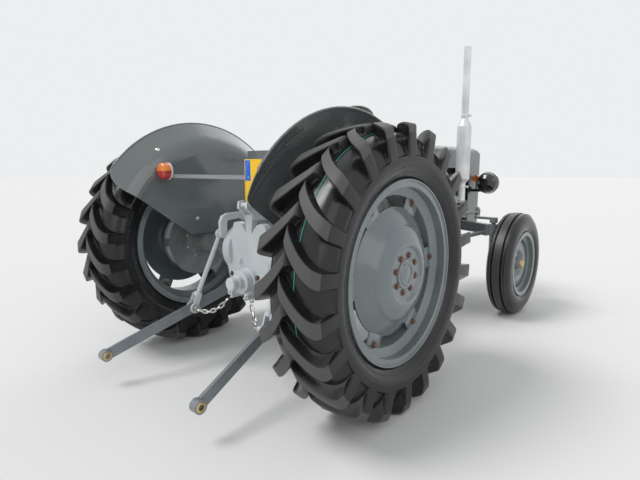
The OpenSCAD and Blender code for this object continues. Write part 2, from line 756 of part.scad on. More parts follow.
// How far the flare runs on past the bend to reach the lip
flare = (lip_r - bend_at(fender_bend, bend_turn)[0]) / cos(bend_turn);
flare_way = [cos(bend_turn), sin(bend_turn)] * flare;

// Side outline of a fender: the lower edge rises to a rounded tip at the back
module fender_outline() {
    up = [-cos(base_slope), sin(base_slope)];
    out = [sin(base_slope), cos(base_slope)];
    low = [base_x, fender_base];
    rise = (low - [0, rear_z]) * out;
    foot = [0, rear_z] + out * rise;
    run_up = sqrt(pow(lip_r - fender_tip, 2) - pow(fender_tip + rise, 2));
    middle = foot + up * run_up + out * fender_tip;
    edge = [0, rear_z] + (middle - [0, rear_z]) * (lip_r + 20) / (lip_r - fender_tip);
    polygon([foot + up * run_up, low, [110, fender_base], [110, 560], [720, 560],
        [720, 1400], [edge[0], 1400], edge, middle]);
    translate(middle) circle(r = fender_tip);
}

// One fender: inner plate, flared crown, rolled lip and the leg on the footrest
module fender() {
    t = fender_sheet;
    y0 = fender_y;
    turns = [0, 8, 16, 24, 32, 40, bend_turn];
    intersection() {
        about_y(0, rear_z) union() {
            polygon(concat([[40, y0]], [for (a = turns) bend_at(fender_bend, a)],
                [bend_at(fender_bend, bend_turn) + flare_way,
                    bend_at(fender_bend - t, bend_turn) + flare_way],
                [for (k = [0 : 6]) bend_at(fender_bend - t, turns[6 - k])], [[40, y0 + t]]));
            translate(bend_at(fender_bend - t / 2, bend_turn) + flare_way) circle(r = 5, $fn = 24);
        }
        yprism(y0 - 10, y0 + 160) fender_outline();
    }
    block(-40, 40, y0 - 8, y0 + t, fender_base, fender_base + 60);
    yprism(y0 - 6, y0 + 0.5) polygon([[460, 660], [460, 558], [567, 451], [567, 434],
        [600, 434], [600, 454], [494, 560], [494, 660]]);
}

bar_x = -300;
bar_z = 985;
plate_w = 108;
plate_h = 176;

module light_bar() color(silver) placed() {
    block(bar_x - 9, bar_x + 9, -fender_y, fender_y, bar_z - 9, bar_z + 9);
}

module tail_lamps() color(lamp_red) placed() {
    both() translate([bar_x - 9, fender_y - 44, bar_z + 25]) rotate([0, -90, 0])
        rotate_extrude() polygon([[0, 0], [40, 0], [42.5, 4], [42.5, 34], [36, 44], [0, 48]]);
}

module number_plate() color(plate_yellow) placed() {
    block(bar_x - 12, bar_x - 9, -216 - plate_w, -216, 885, 885 + plate_h);
}

half_w = bonnet_w / 2;
shoulder_r = 60;
corner_r = 70;

// Solid form of the bonnet and grille shell, drawn in by t; over carries it past its open ends
module hood_form(t, over) {
    intersection() {
        yprism(-half_w + t, half_w - t) union() {
            translate([bonnet_back - over, bonnet_low - 5])
                square([nose_x - nose_r - bonnet_back + over, bonnet_side + 5 - t]);
            translate([nose_x - nose_r, nose_z]) circle(r = nose_r - t, $fn = 96);
            translate([shell_back - over, shell_low - over])
                square([nose_x - t - shell_back + over, nose_z - shell_low + over]);
        }
        xprism(bonnet_back - 20, nose_x + 20) union() {
            translate([-half_w + t, 400]) square([bonnet_w - 2 * t, bonnet_top - shoulder_r - 400]);
            translate([-half_w + shoulder_r, 400])
                square([bonnet_w - 2 * shoulder_r, bonnet_top - t - 400]);
            for (s = [-1, 1]) translate([s * (half_w - shoulder_r), bonnet_top - shoulder_r])
                circle(r = shoulder_r - t, $fn = 96);
        }
        zprism(400, 1300) union() {
            polygon([[bonnet_back - 20, -half_w + 12 + t], [shell_back, -half_w + t],
                [nose_x - corner_r, -half_w + t], [nose_x - corner_r, half_w - t],
                [shell_back, half_w - t], [bonnet_back - 20, half_w - 12 - t]]);
            translate([nose_x - corner_r - 1, -half_w + corner_r])
                square([corner_r + 1 - t, bonnet_w - 2 * corner_r]);
            for (s = [-1, 1]) translate([nose_x - corner_r, s * (half_w - corner_r)])
                circle(r = corner_r - t, $fn = 96);
        }
    }
}

module hood_shell() {
    difference() {
        hood_form(0, 0);
        hood_form(sheet, 6);
        block(bonnet_back - 30, shell_back, -300, 300, 400, bonnet_low);
    }
}

split_z = nose_z - 14;

module bonnet() color(body_grey) placed() {
    difference() {
        hood_shell();
        block(shell_back - 1, nose_x + 30, -300, 300, 400, split_z);
    }
    zbar(bonnet_top - 1, bonnet_top + 14, bonnet_back + 500, 0, 30);
}

grille_half = half_w - corner_r - 4;
grille_low = shell_low + 62;
grille_top = split_z - 24;

module grille_shell() color(body_grey) placed() {
    difference() {
        intersection() {
            hood_shell();
            block(shell_back - 1, nose_x + 30, -300, 300, 400, split_z);
        }
        block(nose_x - 20, nose_x + 10, -grille_half, grille_half, grille_low, grille_top);
    }
    both() difference() {
        union() {
            yprism(119, 127) polygon([[hinge_x - 4, hinge_z - 20], [nose_x - sheet + 1, hinge_z - 24],
                [nose_x - sheet + 1, hinge_z + 20], [hinge_x - 4, hinge_z + 18]]);
            ybar(119, 127, hinge_x, hinge_z, 21);
        }
        ybar(118, 128, hinge_x, hinge_z, hinge_r + run);
    }
}

// Vertical bars on two cross rails behind the shell's opening
module grille() color(body_grey) placed() {
    x1 = nose_x - sheet;
    step = grille_half / (grille_bars + 0.5);
    for (k = [-grille_bars : grille_bars]) {
        w = k == 0 ? 9 : 3.5;
        block(x1 - 14, x1, step * k - w, step * k + w, grille_low - 10, grille_top + 10);
    }
    block(x1 - 18, x1 - 13, -grille_half - 2, grille_half + 2, grille_low + 40, grille_low + 56);
    block(x1 - 18, x1 - 13, -grille_half - 2, grille_half + 2, grille_top - 56, grille_top - 40);
}

lamp_x = wheelbase + 229;
lamp_y = 350;
lamp_z = 913;

// Headlamps on arms from the grille shell, with an indicator beside each
module headlamps() color(black) placed() {
    both() {
        translate([lamp_x, lamp_y, lamp_z]) rotate([0, 90, 0]) rotate_extrude() polygon([
            [0, -64], [34, -60], [60, -44], [76, -18], [lamp_d / 2 - 2, 10], [lamp_d / 2, 14],
            [lamp_d / 2, 26], [76, 30], [60, 36], [30, 41], [0, 42]]);
        ybar(half_w + 2, lamp_y, lamp_x, lamp_z - 60, 11);
        zbar(lamp_z - 60, lamp_z - 40, lamp_x, lamp_y, 11);
        ybar(half_w, half_w + 8, lamp_x, lamp_z - 60, 26);
        zbar(lamp_z - 62, lamp_z + 12, lamp_x + 49, 246, 6);
        block(lamp_x, lamp_x + 55, 240, 252, lamp_z - 66, lamp_z - 54);
        translate([lamp_x + 29, 246, lamp_z + 32]) rotate([0, 90, 0]) cylinder(r = 26, h = 40);
    }
}

// Right-hand exhaust: elbow from the manifold, silencer with coned ends, tail pipe
module exhaust() color(silver) placed() {
    x = wheelbase - 153;
    y = -exhaust_y;
    z0 = 920;
    z1 = z0 + silencer_len;
    r = silencer_d / 2;
    p = tail_d / 2;
    difference() {
        translate([x, y, 0]) rotate_extrude() polygon([
            [0, 800], [p, 800], [p, z0], [r - 3, z0 + 26], [r, z0 + 30], [r, z1 - 50],
            [r - 3, z1 - 44], [p, z1], [p, tail_top], [0, tail_top]]);
        zbar(z1, tail_top + 1, x, y, p - 3);
    }
    ybar(y, -184, x, 800, p);
    translate([x, y, 800]) sphere(r = p + 2);
    ybar(-190, -180, x, 800, 42);
}

// Steering wheel rim, three spokes and hub on its column's axis
module steering_wheel() color(black) placed() {
    translate([wheel_x, 0, wheel_z]) rotate([0, column_angle - 90, 0]) {
        rotate_extrude($fn = 96) translate([steering_wheel_d / 2 - 11, 0]) circle(r = 11, $fn = 32);
        for (k = [0 : 2]) rotate([0, 0, 120 * k + 60])
            rod([20, 0, -20], [steering_wheel_d / 2 - 12, 0, 0], 6);
        difference() {
            translate([0, 0, -44]) cylinder(r = 26, h = 50);
            translate([0, 0, -60]) cylinder(r = column_r + run, h = 58);
        }
        translate([0, 0, 5]) cylinder(r = 20, h = 8);
    }
}

pin_r = 8;

module drop_arm() {
    difference() {
        union() {
            ybar(drop_y - 13.7, drop_y + 12, box_x, box_z, 32);
            yprism(drop_y - 8, drop_y + 8) polygon([
                [box_x - 24, box_z], [box_x + 24, box_z], [box_x + 13, drop_tip_z],
                [box_x - 13, drop_tip_z]]);
            ybar(drop_y - 8, drop_y + 8, box_x, drop_tip_z, 17);
            ybar(drop_y, drop_y + 34, box_x, drop_tip_z, pin_r);
        }
        ybar(drop_y - 30, drop_y + 30, box_x, box_z, 18 + run);
    }
}

socket_x = wheelbase + 5;
socket_y = kingpin_y - arm_len;

// Drag link: an eye on the drop arm's pin, a long rod and a socket over the steering arm
module drag_link() {
    difference() {
        union() {
            ybar(drop_y + 14, drop_y + 34, box_x, drop_tip_z, 17);
            rod([box_x + 8, drop_y + 24, drop_tip_z + 2], [socket_x, socket_y, arm_z + 34], 11);
        }
        ybar(drop_y, drop_y + 50, box_x, drop_tip_z, pin_r + run);
    }
    zbar(arm_z + work_gap, arm_z + 56, socket_x, socket_y, 19);
    translate([socket_x, socket_y, arm_z + 56]) sphere(r = 14);
}

module lift_arms() color(light_grey) placed() {
    ybar(-lift_y - 16, lift_y + 16, lift_x, lift_z, lift_shaft_r);
    both() {
        ybar(lift_y - 23.7, lift_y + 16, lift_x, lift_z, 42);
        yprism(lift_y - 11, lift_y + 11) polygon([
            [lift_x, lift_z + 40], [24, 794], [-84, 790], [-116, 778], [-131, 748],
            [lift_end_x - 21, lift_end_z], [lift_end_x + 21, lift_end_z], [-92, 740], [-82, 755],
            [-6, 760], [50, 730], [lift_x, lift_z - 40]]);
        ybar(lift_y - 11, lift_y + 11, lift_end_x, lift_end_z, 22);
        ybar(lift_y - 11, lift_y + 40, lift_end_x, lift_end_z, 11);
    }
}

// Play of the fork round the link's pin, where the linkage is open
eye_play = 8;

// Lift rod: eye on the lift arm's pin, round rod and the fork round the link's pin
module lift_rod() {
    top = [lift_end_x, lift_y + 27, lift_end_z];
    low = [rod_x, rod_y, rod_z];
    u = (low - top) / norm(low - top);
    difference() {
        union() {
            ybar(lift_y + 16, lift_y + 38, lift_end_x, lift_end_z, 24);
            rod(top + u * 10, low - u * 62, 12);
            rod(low - u * 86, low - u * 66, 20);
            for (s = [-1, 1]) {
                ybar(rod_y + s * 20 - 4, rod_y + s * 20 + 4, rod_x, rod_z, 26);
                flat_bar([rod_x + 6, rod_y + s * 20, rod_z + 14],
                    [rod_x + 28, rod_y + s * 16 - 6, rod_z + 72], 8, 30);
            }
        }
        ybar(lift_y, lift_y + 60, lift_end_x, lift_end_z, 11 + run);
        ybar(rod_y - 40, rod_y + 40, rod_x, rod_z, 9 + eye_play);
    }
}

// Lower link: bar on the slant between its front eye and its ball end
module lower_link() {
    p = [link_x, link_y, link_z];
    q = [ball_x, ball_y, ball_z];
    u = (q - p) / norm(q - p);
    difference() {
        union() {
            ybar(link_y - 22, link_y + 22, link_x, link_z, 30);
            flat_bar(p + u * 18, q - u * 16, 15, link_h);
            ybar(ball_y - 19, ball_y + 19, ball_x, ball_z, link_eye_r, 180);
            ybar(rod_y - 42.7, rod_y + 28, rod_x, rod_z, 9, 70);
        }
        ybar(link_y - 40, link_y + 40, link_x, link_z, 14 + run);
        ybar(ball_y - 30, ball_y + 30, ball_x, ball_z, link_bore_r);
    }
}

// A chain link along X: a round bar carried along a stadium, five sides and ten rings
link_mid_r = 8;
link_bar_r = 4;
link_turns = [for (e = [-90, 90], k = [0 : 4]) e + 45 * k];

module chain_link(half) {
    n = len(link_turns);
    points = [for (i = [0 : n - 1], j = [0 : 4])
        let (a = link_turns[i], side = i < n / 2 ? half : -half, m = link_mid_r + link_bar_r * cos(72 * j))
        [side + m * cos(a), m * sin(a), link_bar_r * sin(72 * j)]];
    faces = [for (i = [0 : n - 1], j = [0 : 4], part = [0, 1])
        let (i2 = (i + 1) % n, j2 = (j + 1) % 5)
        part == 0 ? [5 * i + j, 5 * i + j2, 5 * i2 + j] : [5 * i + j2, 5 * i2 + j2, 5 * i2 + j]];
    polyhedron(points = points, faces = faces);
}

chain_in = [chain_x, chain_pin_y, chain_pin_z];
chain_out = [rod_x, rod_y - 51, rod_z - 2];
chain_sag = 48;
chain_links = 7;
chain_start = 1.4;

function chain_at(t) = chain_in + (chain_out - chain_in) * t - [0, 0, chain_sag * 4 * t * (1 - t)];

// Check chain: its links hung in each other, from the cap on the lower link's pin to near the shackle
module check_chain() {
    for (k = [0 : chain_links - 1]) {
        a = chain_at((k + chain_start) / (chain_links + chain_start));
        b = chain_at((k + 1 + chain_start) / (chain_links + chain_start));
        v = b - a;
        half = (norm(v) + 2 * link_bar_r + seat_gap) / 2 - link_mid_r;
        translate((a + b) / 2)
            rotate([0, -atan2(v[2], norm([v[0], v[1]])), atan2(v[1], v[0])])
            rotate([90 * (k % 2), 0, 0]) chain_link(half);
    }
    difference() {
        ybar(rod_y - 47, rod_y - 33, rod_x, rod_z, 17);
        ybar(rod_y - 43, rod_y - 30, rod_x, rod_z, 9 + run);
    }
}

module on_right() {
    mirror([0, 1, 0]) children();
}

// Wheels and the pieces that come in pairs
module fender_left() {
    color(body_grey) placed() fender();
}

module fender_right() {
    color(body_grey) placed() on_right() fender();
}

module drop_arm_left() {
    color(body_grey) placed() drop_arm();
}

module drop_arm_right() {
    color(body_grey) placed() on_right() drop_arm();
}

module drag_link_left() {
    color(body_grey) placed() drag_link();
}

module drag_link_right() {
    color(body_grey) placed() on_right() drag_link();
}

module knuckle_left() {
    color(body_grey) placed() knuckle();
}

module knuckle_right() {
    color(body_grey) placed() on_right() knuckle();
}

module front_tyre_left() {
    color(black) placed() front_wheel_place(1) front_tyre();
}

module front_rim_left() {
    color(light_grey) placed() front_wheel_place(1) front_rim();
}

module front_tyre_right() {
    color(black) placed() front_wheel_place(-1) front_tyre();
}

module front_rim_right() {
    color(light_grey) placed() front_wheel_place(-1) front_rim();
}

module rear_tyre_left() {
    color(black) placed() rear_wheel_place(1) rear_tyre();
}

module rear_rim_left() {
    color(light_grey) placed() rear_wheel_place(1) rear_rim();
}

module rear_disc_left() {
    color(steel) placed() rear_wheel_place(1) rear_hub();
}

module rear_tyre_right() {
    color(black) placed() rear_wheel_place(-1) rear_tyre();
}

module rear_rim_right() {
    color(light_grey) placed() rear_wheel_place(-1) rear_rim();
}

module rear_disc_right() {
    color(steel) placed() rear_wheel_place(-1) rear_hub();
}

module lift_rod_left() {
    color(light_grey) placed() lift_rod();
}

module lift_rod_right() {
    color(light_grey) placed() on_right() lift_rod();
}

module lower_link_left() {
    color(slate) placed() lower_link();
}

module lower_link_right() {
    color(slate) placed() on_right() lower_link();
}

module check_chain_left() {
    color(silver) placed() check_chain();
}

module check_chain_right() {
    color(silver) placed() on_right() check_chain();
}

// Drawing
engine();
exhaust();
fan();
radiator();
fuel_tank();
battery();
front_support();
front_axle();
gearbox();
rear_housing();
axle_trumpets();
lift_cover();
pto_cover();
footrests();
controls();
dash();
steering_box();
seat();
fender_left();
fender_right();
light_bar();
tail_lamps();
number_plate();
bonnet();
grille_shell();
grille();
headlamps();
steering_wheel();
drop_arm_left();
drop_arm_right();
drag_link_left();
drag_link_right();
knuckle_left();
knuckle_right();
front_tyre_left();
front_rim_left();
front_tyre_right();
front_rim_right();
rear_tyre_left();
rear_rim_left();
rear_disc_left();
rear_tyre_right();
rear_rim_right();
rear_disc_right();
lift_arms();
lift_rod_left();
lift_rod_right();
lower_link_left();
lower_link_right();
check_chain_left();
check_chain_right();
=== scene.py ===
import math

import bpy
import numpy as np
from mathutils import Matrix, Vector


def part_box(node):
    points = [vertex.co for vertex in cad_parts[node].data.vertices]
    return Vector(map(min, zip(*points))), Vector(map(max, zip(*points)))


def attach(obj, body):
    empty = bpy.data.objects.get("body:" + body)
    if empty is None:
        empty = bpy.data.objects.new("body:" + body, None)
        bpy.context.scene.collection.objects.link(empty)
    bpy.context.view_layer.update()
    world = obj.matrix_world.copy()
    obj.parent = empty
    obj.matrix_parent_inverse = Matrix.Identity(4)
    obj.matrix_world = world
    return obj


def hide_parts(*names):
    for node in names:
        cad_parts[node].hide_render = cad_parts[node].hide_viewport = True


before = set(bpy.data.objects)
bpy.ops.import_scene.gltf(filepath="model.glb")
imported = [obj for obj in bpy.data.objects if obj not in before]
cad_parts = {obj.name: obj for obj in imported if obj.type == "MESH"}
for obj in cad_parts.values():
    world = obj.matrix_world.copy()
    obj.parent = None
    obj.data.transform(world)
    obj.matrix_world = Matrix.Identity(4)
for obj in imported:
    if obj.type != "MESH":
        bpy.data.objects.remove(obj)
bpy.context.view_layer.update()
print("frame loaded:", len(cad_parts), "nodes")

# Places below are millimetres from the ground under the rear axle, X forward and Y to the left
mm = 0.001
rearLow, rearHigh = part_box("rear_rim_right")
axleX = (rearLow.x + rearHigh.x) / 2


def place(points):
    # Turns millimetre points into metres in the part's own frame: p * 0.001 + (axleX, 0, 0)
    return np.asarray(points, float) * mm + np.array([axleX, 0.0, 0.0])


# Finishes


def surface(name, look):
    # Colour = base mixed to tint by large noise, then to dust by a second noise; height = fine noise
    mat = bpy.data.materials.new(name)
    mat.use_nodes = True
    nodes, links = mat.node_tree.nodes, mat.node_tree.links
    shader = nodes["Principled BSDF"]
    coords = nodes.new("ShaderNodeTexCoord")

    def noise(scale, detail):
        tex = nodes.new("ShaderNodeTexNoise")
        tex.inputs["Scale"].default_value = scale
        tex.inputs["Detail"].default_value = detail
        links.new(coords.outputs["Object"], tex.inputs["Vector"])
        return tex

    def ramp(source, low, high, first, last):
        node = nodes.new("ShaderNodeMapRange")
        node.inputs["From Min"].default_value = low
        node.inputs["From Max"].default_value = high
        node.inputs["To Min"].default_value = first
        node.inputs["To Max"].default_value = last
        links.new(source, node.inputs["Value"])
        return node.outputs["Result"]

    def mixed(factor, first, second):
        node = nodes.new("ShaderNodeMix")
        node.data_type = "RGBA"
        links.new(factor, node.inputs["Factor"])
        for socket, value in (("A", first), ("B", second)):
            target = [i for i in node.inputs if i.name == socket and i.type == "RGBA"][0]
            if hasattr(value, "is_output"):
                links.new(value, target)
            else:
                target.default_value = (*value, 1)
        return [o for o in node.outputs if o.type == "RGBA"][0]

    cloud = noise(look.get("cloud", 7), 4)
    colour = mixed(ramp(cloud.outputs["Fac"], 0.38, 0.66, 0, 1), look["base"], look["tint"])
    if "attribute" in look:
        tag = nodes.new("ShaderNodeAttribute")
        tag.attribute_name = look["attribute"]
        colour = mixed(tag.outputs["Fac"], colour, look["marked"])
    if "dust" in look:
        specks = noise(look.get("speckScale", 160), 6)
        colour = mixed(ramp(specks.outputs["Fac"], 0.56, 0.8, 0, look["dustAmount"]), colour, look["dust"])
    links.new(colour, shader.inputs["Base Color"])
    low, high = look["rough"]
    roughness = ramp(noise(look.get("smudge", 18), 5).outputs["Fac"], 0.3, 0.7, low, high)
    if "attribute" in look:
        blend = nodes.new("ShaderNodeMix")
        links.new(tag.outputs["Fac"], blend.inputs["Factor"])
        links.new(roughness, blend.inputs["A"])
        blend.inputs["B"].default_value = look["markedRough"]
        roughness = blend.outputs["Result"]
    links.new(roughness, shader.inputs["Roughness"])
    bump = nodes.new("ShaderNodeBump")
    bump.inputs["Strength"].default_value = look.get("relief", 0.1)
    bump.inputs["Distance"].default_value = look.get("depth", 0.0006)
    links.new(noise(look.get("grain", 240), 3).outputs["Fac"], bump.inputs["Height"])
    links.new(bump.outputs["Normal"], shader.inputs["Normal"])
    shader.inputs["Metallic"].default_value = look.get("metal", 0)
    shader.inputs["Coat Weight"].default_value = look.get("coat", 0)
    shader.inputs["Coat Roughness"].default_value = 0.12
    shader.inputs["Specular IOR Level"].default_value = look.get("specular", 0.5)
    return mat


looks = {
    "fenderEnamel": dict(base=(.122, .140, .140), tint=(.138, .156, .156), rough=(.15, .24), coat=.6,
                         relief=.05, grain=90, cloud=3, dust=(.30, .31, .30), dustAmount=.10),
    "bodyEnamel": dict(base=(.140, .158, .158), tint=(.162, .180, .178), rough=(.24, .36), coat=.4,
                       relief=.06, grain=110, dust=(.32, .33, .32), dustAmount=.12),
    "engineEnamel": dict(base=(.150, .168, .166), tint=(.118, .132, .130), rough=(.34, .48), coat=.15,
                         relief=.35, depth=.0008, grain=420, dust=(.20, .19, .17), dustAmount=.25),
    # Cast enamel: partly the housing paint's own pale grey and partly painted sunlight, made paler to stand
    # for sun on the housing and to fill the shade that the tyres and fenders throw on it
    "castEnamelSunlit": dict(base=(.64, .68, .70), tint=(.56, .60, .62), rough=(.30, .44), coat=.2,
                       relief=.35, depth=.0008, grain=380, dust=(.27, .28, .27), dustAmount=.25),
    "rimEnamel": dict(base=(.170, .196, .204), tint=(.21, .24, .245), rough=(.24, .38), coat=.3,
                      relief=.06, grain=120, dust=(.42, .41, .38), dustAmount=.15),
    "axleEnamel": dict(base=(.30, .325, .33), tint=(.26, .285, .29), rough=(.28, .42), coat=.2,
                       relief=.15, grain=240, dust=(.22, .22, .21), dustAmount=.2),
    "barEnamel": dict(base=(.27, .285, .29), tint=(.24, .255, .26), rough=(.28, .4), coat=.3,
                      relief=.06, grain=120, dust=(.32, .33, .32), dustAmount=.1),
    "discEnamel": dict(base=(.150, .180, .192), tint=(.168, .197, .206), rough=(.15, .25), coat=.6,
                       relief=.05, grain=90, cloud=4, dust=(.36, .36, .34), dustAmount=.12),
    "slateEnamel": dict(base=(.165, .19, .21), tint=(.20, .225, .245), rough=(.24, .38), coat=.4,
                        relief=.1, grain=160, dust=(.30, .31, .31), dustAmount=.15),
    "aluminiumPaint": dict(base=(.81, .82, .825), tint=(.62, .63, .635), rough=(.36, .5), metal=.25,
                           relief=.15, grain=500, dust=(.36, .35, .33), dustAmount=.15),
    "blackSatin": dict(base=(.017, .017, .018), tint=(.026, .026, .027), rough=(.34, .5),
                       relief=.12, grain=300, dust=(.10, .10, .09), dustAmount=.2),
    "blackGloss": dict(base=(.008, .008, .009), tint=(.011, .011, .012), rough=(.10, .18), coat=.6,
                       relief=.03, grain=80, dust=(.08, .08, .08), dustAmount=.08),
    "hardRubber": dict(base=(.018, .018, .019), tint=(.028, .028, .028), rough=(.42, .56),
                       relief=.2, grain=340, dust=(.09, .09, .08), dustAmount=.2),
    "tyreRubber": dict(base=(.008, .008, .009), tint=(.013, .013, .014), rough=(.17, .30), specular=.46,
                       relief=.12, depth=.0005, grain=200, cloud=9, dust=(.05, .05, .048), dustAmount=.2,
                       attribute="scuffed", marked=(.075, .074, .073), markedRough=.56),
    "tealStripe": dict(base=(.02, .30, .24), tint=(.03, .22, .19), rough=(.3, .5)),
    "copperBolt": dict(base=(.20, .115, .085), tint=(.11, .075, .06), rough=(.36, .54), metal=.45,
                       relief=.3, grain=600, cloud=60),
    "darkBolt": dict(base=(.10, .075, .06), tint=(.16, .10, .07), rough=(.4, .6), metal=.4,
                     relief=.3, grain=600, cloud=70),
    "zincSteel": dict(base=(.60, .60, .58), tint=(.48, .48, .45), rough=(.24, .42), metal=.85,
                      relief=.15, grain=500, cloud=50),
    "brass": dict(base=(.62, .47, .22), tint=(.48, .36, .18), rough=(.26, .42), metal=.85,
                  relief=.2, grain=400, cloud=60),
    "chrome": dict(base=(.75, .76, .77), tint=(.68, .69, .70), rough=(.06, .14), metal=1, relief=.02),
    "amberLens": dict(base=(.80, .20, .01), tint=(.72, .16, .008), rough=(.08, .14), coat=.8, relief=.4,
                      depth=.001, grain=700),
    "redLens": dict(base=(.46, .012, .008), tint=(.38, .01, .006), rough=(.08, .14), coat=.8, relief=.4,
                    depth=.001, grain=700),
    "clearLens": dict(base=(.55, .57, .58), tint=(.62, .64, .65), rough=(.05, .1), coat=1, metal=.4,
                      relief=.5, depth=.002, grain=260),
    "plateYellow": dict(base=(.94, .58, .005), tint=(.91, .55, .004), rough=(.3, .4), relief=.05),
    "plateBlue": dict(base=(.004, .14, .70), tint=(.004, .12, .62), rough=(.28, .38), relief=.05),
    "dialFace": dict(base=(.70, .69, .64), tint=(.66, .65, .60), rough=(.2, .3), relief=.02),
}
finish = {name: surface(name, look) for name, look in looks.items()}

nodeFinish = {
    "engine": "engineEnamel", "exhaust": "aluminiumPaint", "fan": "engineEnamel", "radiator": "blackSatin",
    "fuel_tank": "bodyEnamel", "battery": "hardRubber", "front_support": "bodyEnamel",
    "front_axle": "axleEnamel", "gearbox": "engineEnamel", "rear_housing": "castEnamelSunlit",
    # The axle trumpets share the housing's paint but take the darker body enamel as painted shade, standing
    # for the fender's shadow on them
    "axle_trumpets": "bodyEnamel", "lift_cover": "castEnamelSunlit", "pto_cover": "castEnamelSunlit",
    "footrests": "bodyEnamel", "controls": "blackSatin", "dash": "bodyEnamel", "steering_box": "bodyEnamel",
    "seat": "bodyEnamel", "fender_left": "fenderEnamel", "fender_right": "fenderEnamel",
    "light_bar": "barEnamel", "tail_lamps": "redLens", "number_plate": "plateYellow",
    "bonnet": "bodyEnamel", "grille_shell": "bodyEnamel", "grille": "bodyEnamel", "headlamps": "blackGloss",
    "steering_wheel": "hardRubber", "lift_arms": "castEnamelSunlit"}
sideFinish = {
    "drop_arm": "axleEnamel", "drag_link": "axleEnamel", "knuckle": "axleEnamel",
    "front_tyre": "tyreRubber", "rear_tyre": "tyreRubber", "front_rim": "rimEnamel",
    "rear_rim": "rimEnamel", "rear_disc": "discEnamel", "lift_rod": "castEnamelSunlit",
    "lower_link": "slateEnamel", "check_chain": "zincSteel"}
for stem, look in sideFinish.items():
    nodeFinish[stem + "_left"] = nodeFinish[stem + "_right"] = look
for node, look in nodeFinish.items():
    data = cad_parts[node].data
    data.materials.clear()
    data.materials.append(finish[look])
print("finishes set")

# Shapes worked out as arrays


def grid(points, closeU=False, closeV=False, capStart=False, capEnd=False):
    # A grid of points P(u, v) joined in squares; a cap joins the first or last row to its middle point
    nu, nv = points.shape[:2]
    index = np.arange(nu * nv).reshape(nu, nv)
    if closeU:
        index = np.vstack([index, index[:1]])
    if closeV:
        index = np.hstack([index, index[:, :1]])
    faces = [np.stack([index[:-1, :-1], index[1:, :-1], index[1:, 1:], index[:-1, 1:]], -1).reshape(-1, 4)]
    verts = [points.reshape(-1, 3)]
    count = nu * nv
    for wanted, row, flip in ((capStart, 0, False), (capEnd, -1, True)):
        if wanted:
            edge = index[row]
            verts.append(points[row].mean(0)[None])
            pole = np.full(len(edge) - 1, count)
            order = [edge[1:], edge[:-1], pole] if flip else [edge[:-1], edge[1:], pole]
            faces.append(np.stack(order, -1))
            count += 1
    return np.vstack(verts), faces


def joined(parts):
    # Several (points, faces) shapes as one
    verts, faces, start = [], [], 0
    for points, sets in parts:
        verts.append(points)
        faces += [f + start for f in sets]
        start += len(points)
    return np.vstack(verts), faces


def copies(part, origins, turns=None):
    # The same shape at each origin, turned by its own 3 x 3 matrix: p' = T p + o
    points, sets = part
    origins = np.atleast_2d(np.asarray(origins, float))
    if turns is None:
        turns = np.broadcast_to(np.eye(3), (len(origins), 3, 3))
    moved = np.einsum("nij,pj->npi", turns, points) + origins[:, None]
    shift = np.arange(len(origins))[:, None, None] * len(points)
    return moved.reshape(-1, 3), [(f[None] + shift).reshape(-1, f.shape[1]) for f in sets]


def aboutAxle(angles):
    # A turn about Y for each angle: x' = x cos a - z sin a, z' = x sin a + z cos a
    turns = np.zeros((len(angles), 3, 3))
    turns[:, 0, 0] = turns[:, 2, 2] = np.cos(angles)
    turns[:, 0, 2], turns[:, 2, 0], turns[:, 1, 1] = -np.sin(angles), np.sin(angles), 1
    return turns


def softened(points, rounds=2, closed=False):
    # Corner cutting: each side p, q becomes 3/4 p + 1/4 q and 1/4 p + 3/4 q
    points = np.asarray(points, float)
    for _ in range(rounds):
        following = np.roll(points, -1, 0) if closed else points[1:]
        here = points if closed else points[:-1]
        cut = np.stack([.75 * here + .25 * following, .25 * here + .75 * following], 1)
        cut = cut.reshape(-1, points.shape[1])
        points = cut if closed else np.vstack([points[:1], cut, points[-1:]])
    return points


def across(axis):
    # An axis of length 1 and two more at right angles to it: first = helper x axis, second = axis x first
    axis = np.asarray(axis, float)
    axis = axis / np.linalg.norm(axis)
    helper = np.array([0, 0, 1.0]) if abs(axis[2]) < .9 else np.array([1.0, 0, 0])
    first = np.cross(helper, axis)
    first /= np.linalg.norm(first)
    return axis, first, np.cross(axis, first)


def lathe(profile, origin, axis=(0, 1, 0), turns=96, closed=False, **caps):
    # P(a, t) = origin + axis * h(t) + r(t) * (first cos a + second sin a), profile rows are (h, r)
    profile = np.asarray(profile, float)
    axis, first, second = across(axis)
    angle = np.linspace(0, 2 * np.pi, turns, endpoint=False)
    spoke = np.cos(angle)[:, None] * first + np.sin(angle)[:, None] * second
    points = profile[:, None, :1] * axis + profile[:, None, 1:] * spoke[None]
    return grid(points + np.asarray(origin, float), closeU=closed, closeV=True, **caps)


def tube(path, radius, sides=12, closed=False):
    # A circle carried along a path: P(s, a) = path(s) + r(s) (first cos a + second sin a), where
    # first = way x helper and second = way x first, with one fixed helper for the whole path
    path = np.asarray(path, float)
    radius = np.broadcast_to(np.asarray(radius, float), len(path))
    way = (np.roll(path, -1, 0) - np.roll(path, 1, 0)) if closed else np.gradient(path, axis=0)
    way /= np.linalg.norm(way, axis=1)[:, None]
    spread = way.max(0) - way.min(0) + np.abs(way.mean(0))
    helper = np.eye(3)[int(np.argmin(spread))]
    first = np.cross(way, helper)
    first /= np.linalg.norm(first, axis=1)[:, None]
    second = np.cross(way, first)
    angle = np.linspace(0, 2 * np.pi, sides, endpoint=False)
    circle = np.cos(angle)[None, :, None] * first[:, None] + np.sin(angle)[None, :, None] * second[:, None]
    return grid(path[:, None] + radius[:, None, None] * circle, closeU=closed, closeV=True,
                capStart=not closed, capEnd=not closed)


def curved(points, count=40):
    # A smooth path through a few places: corner cutting, then even steps along its length
    soft = softened(points, 4)
    run = np.concatenate([[0], np.cumsum(np.linalg.norm(np.diff(soft, axis=0), axis=1))])
    return np.stack([np.interp(np.linspace(0, run[-1], count), run, soft[:, k]) for k in range(3)], 1)


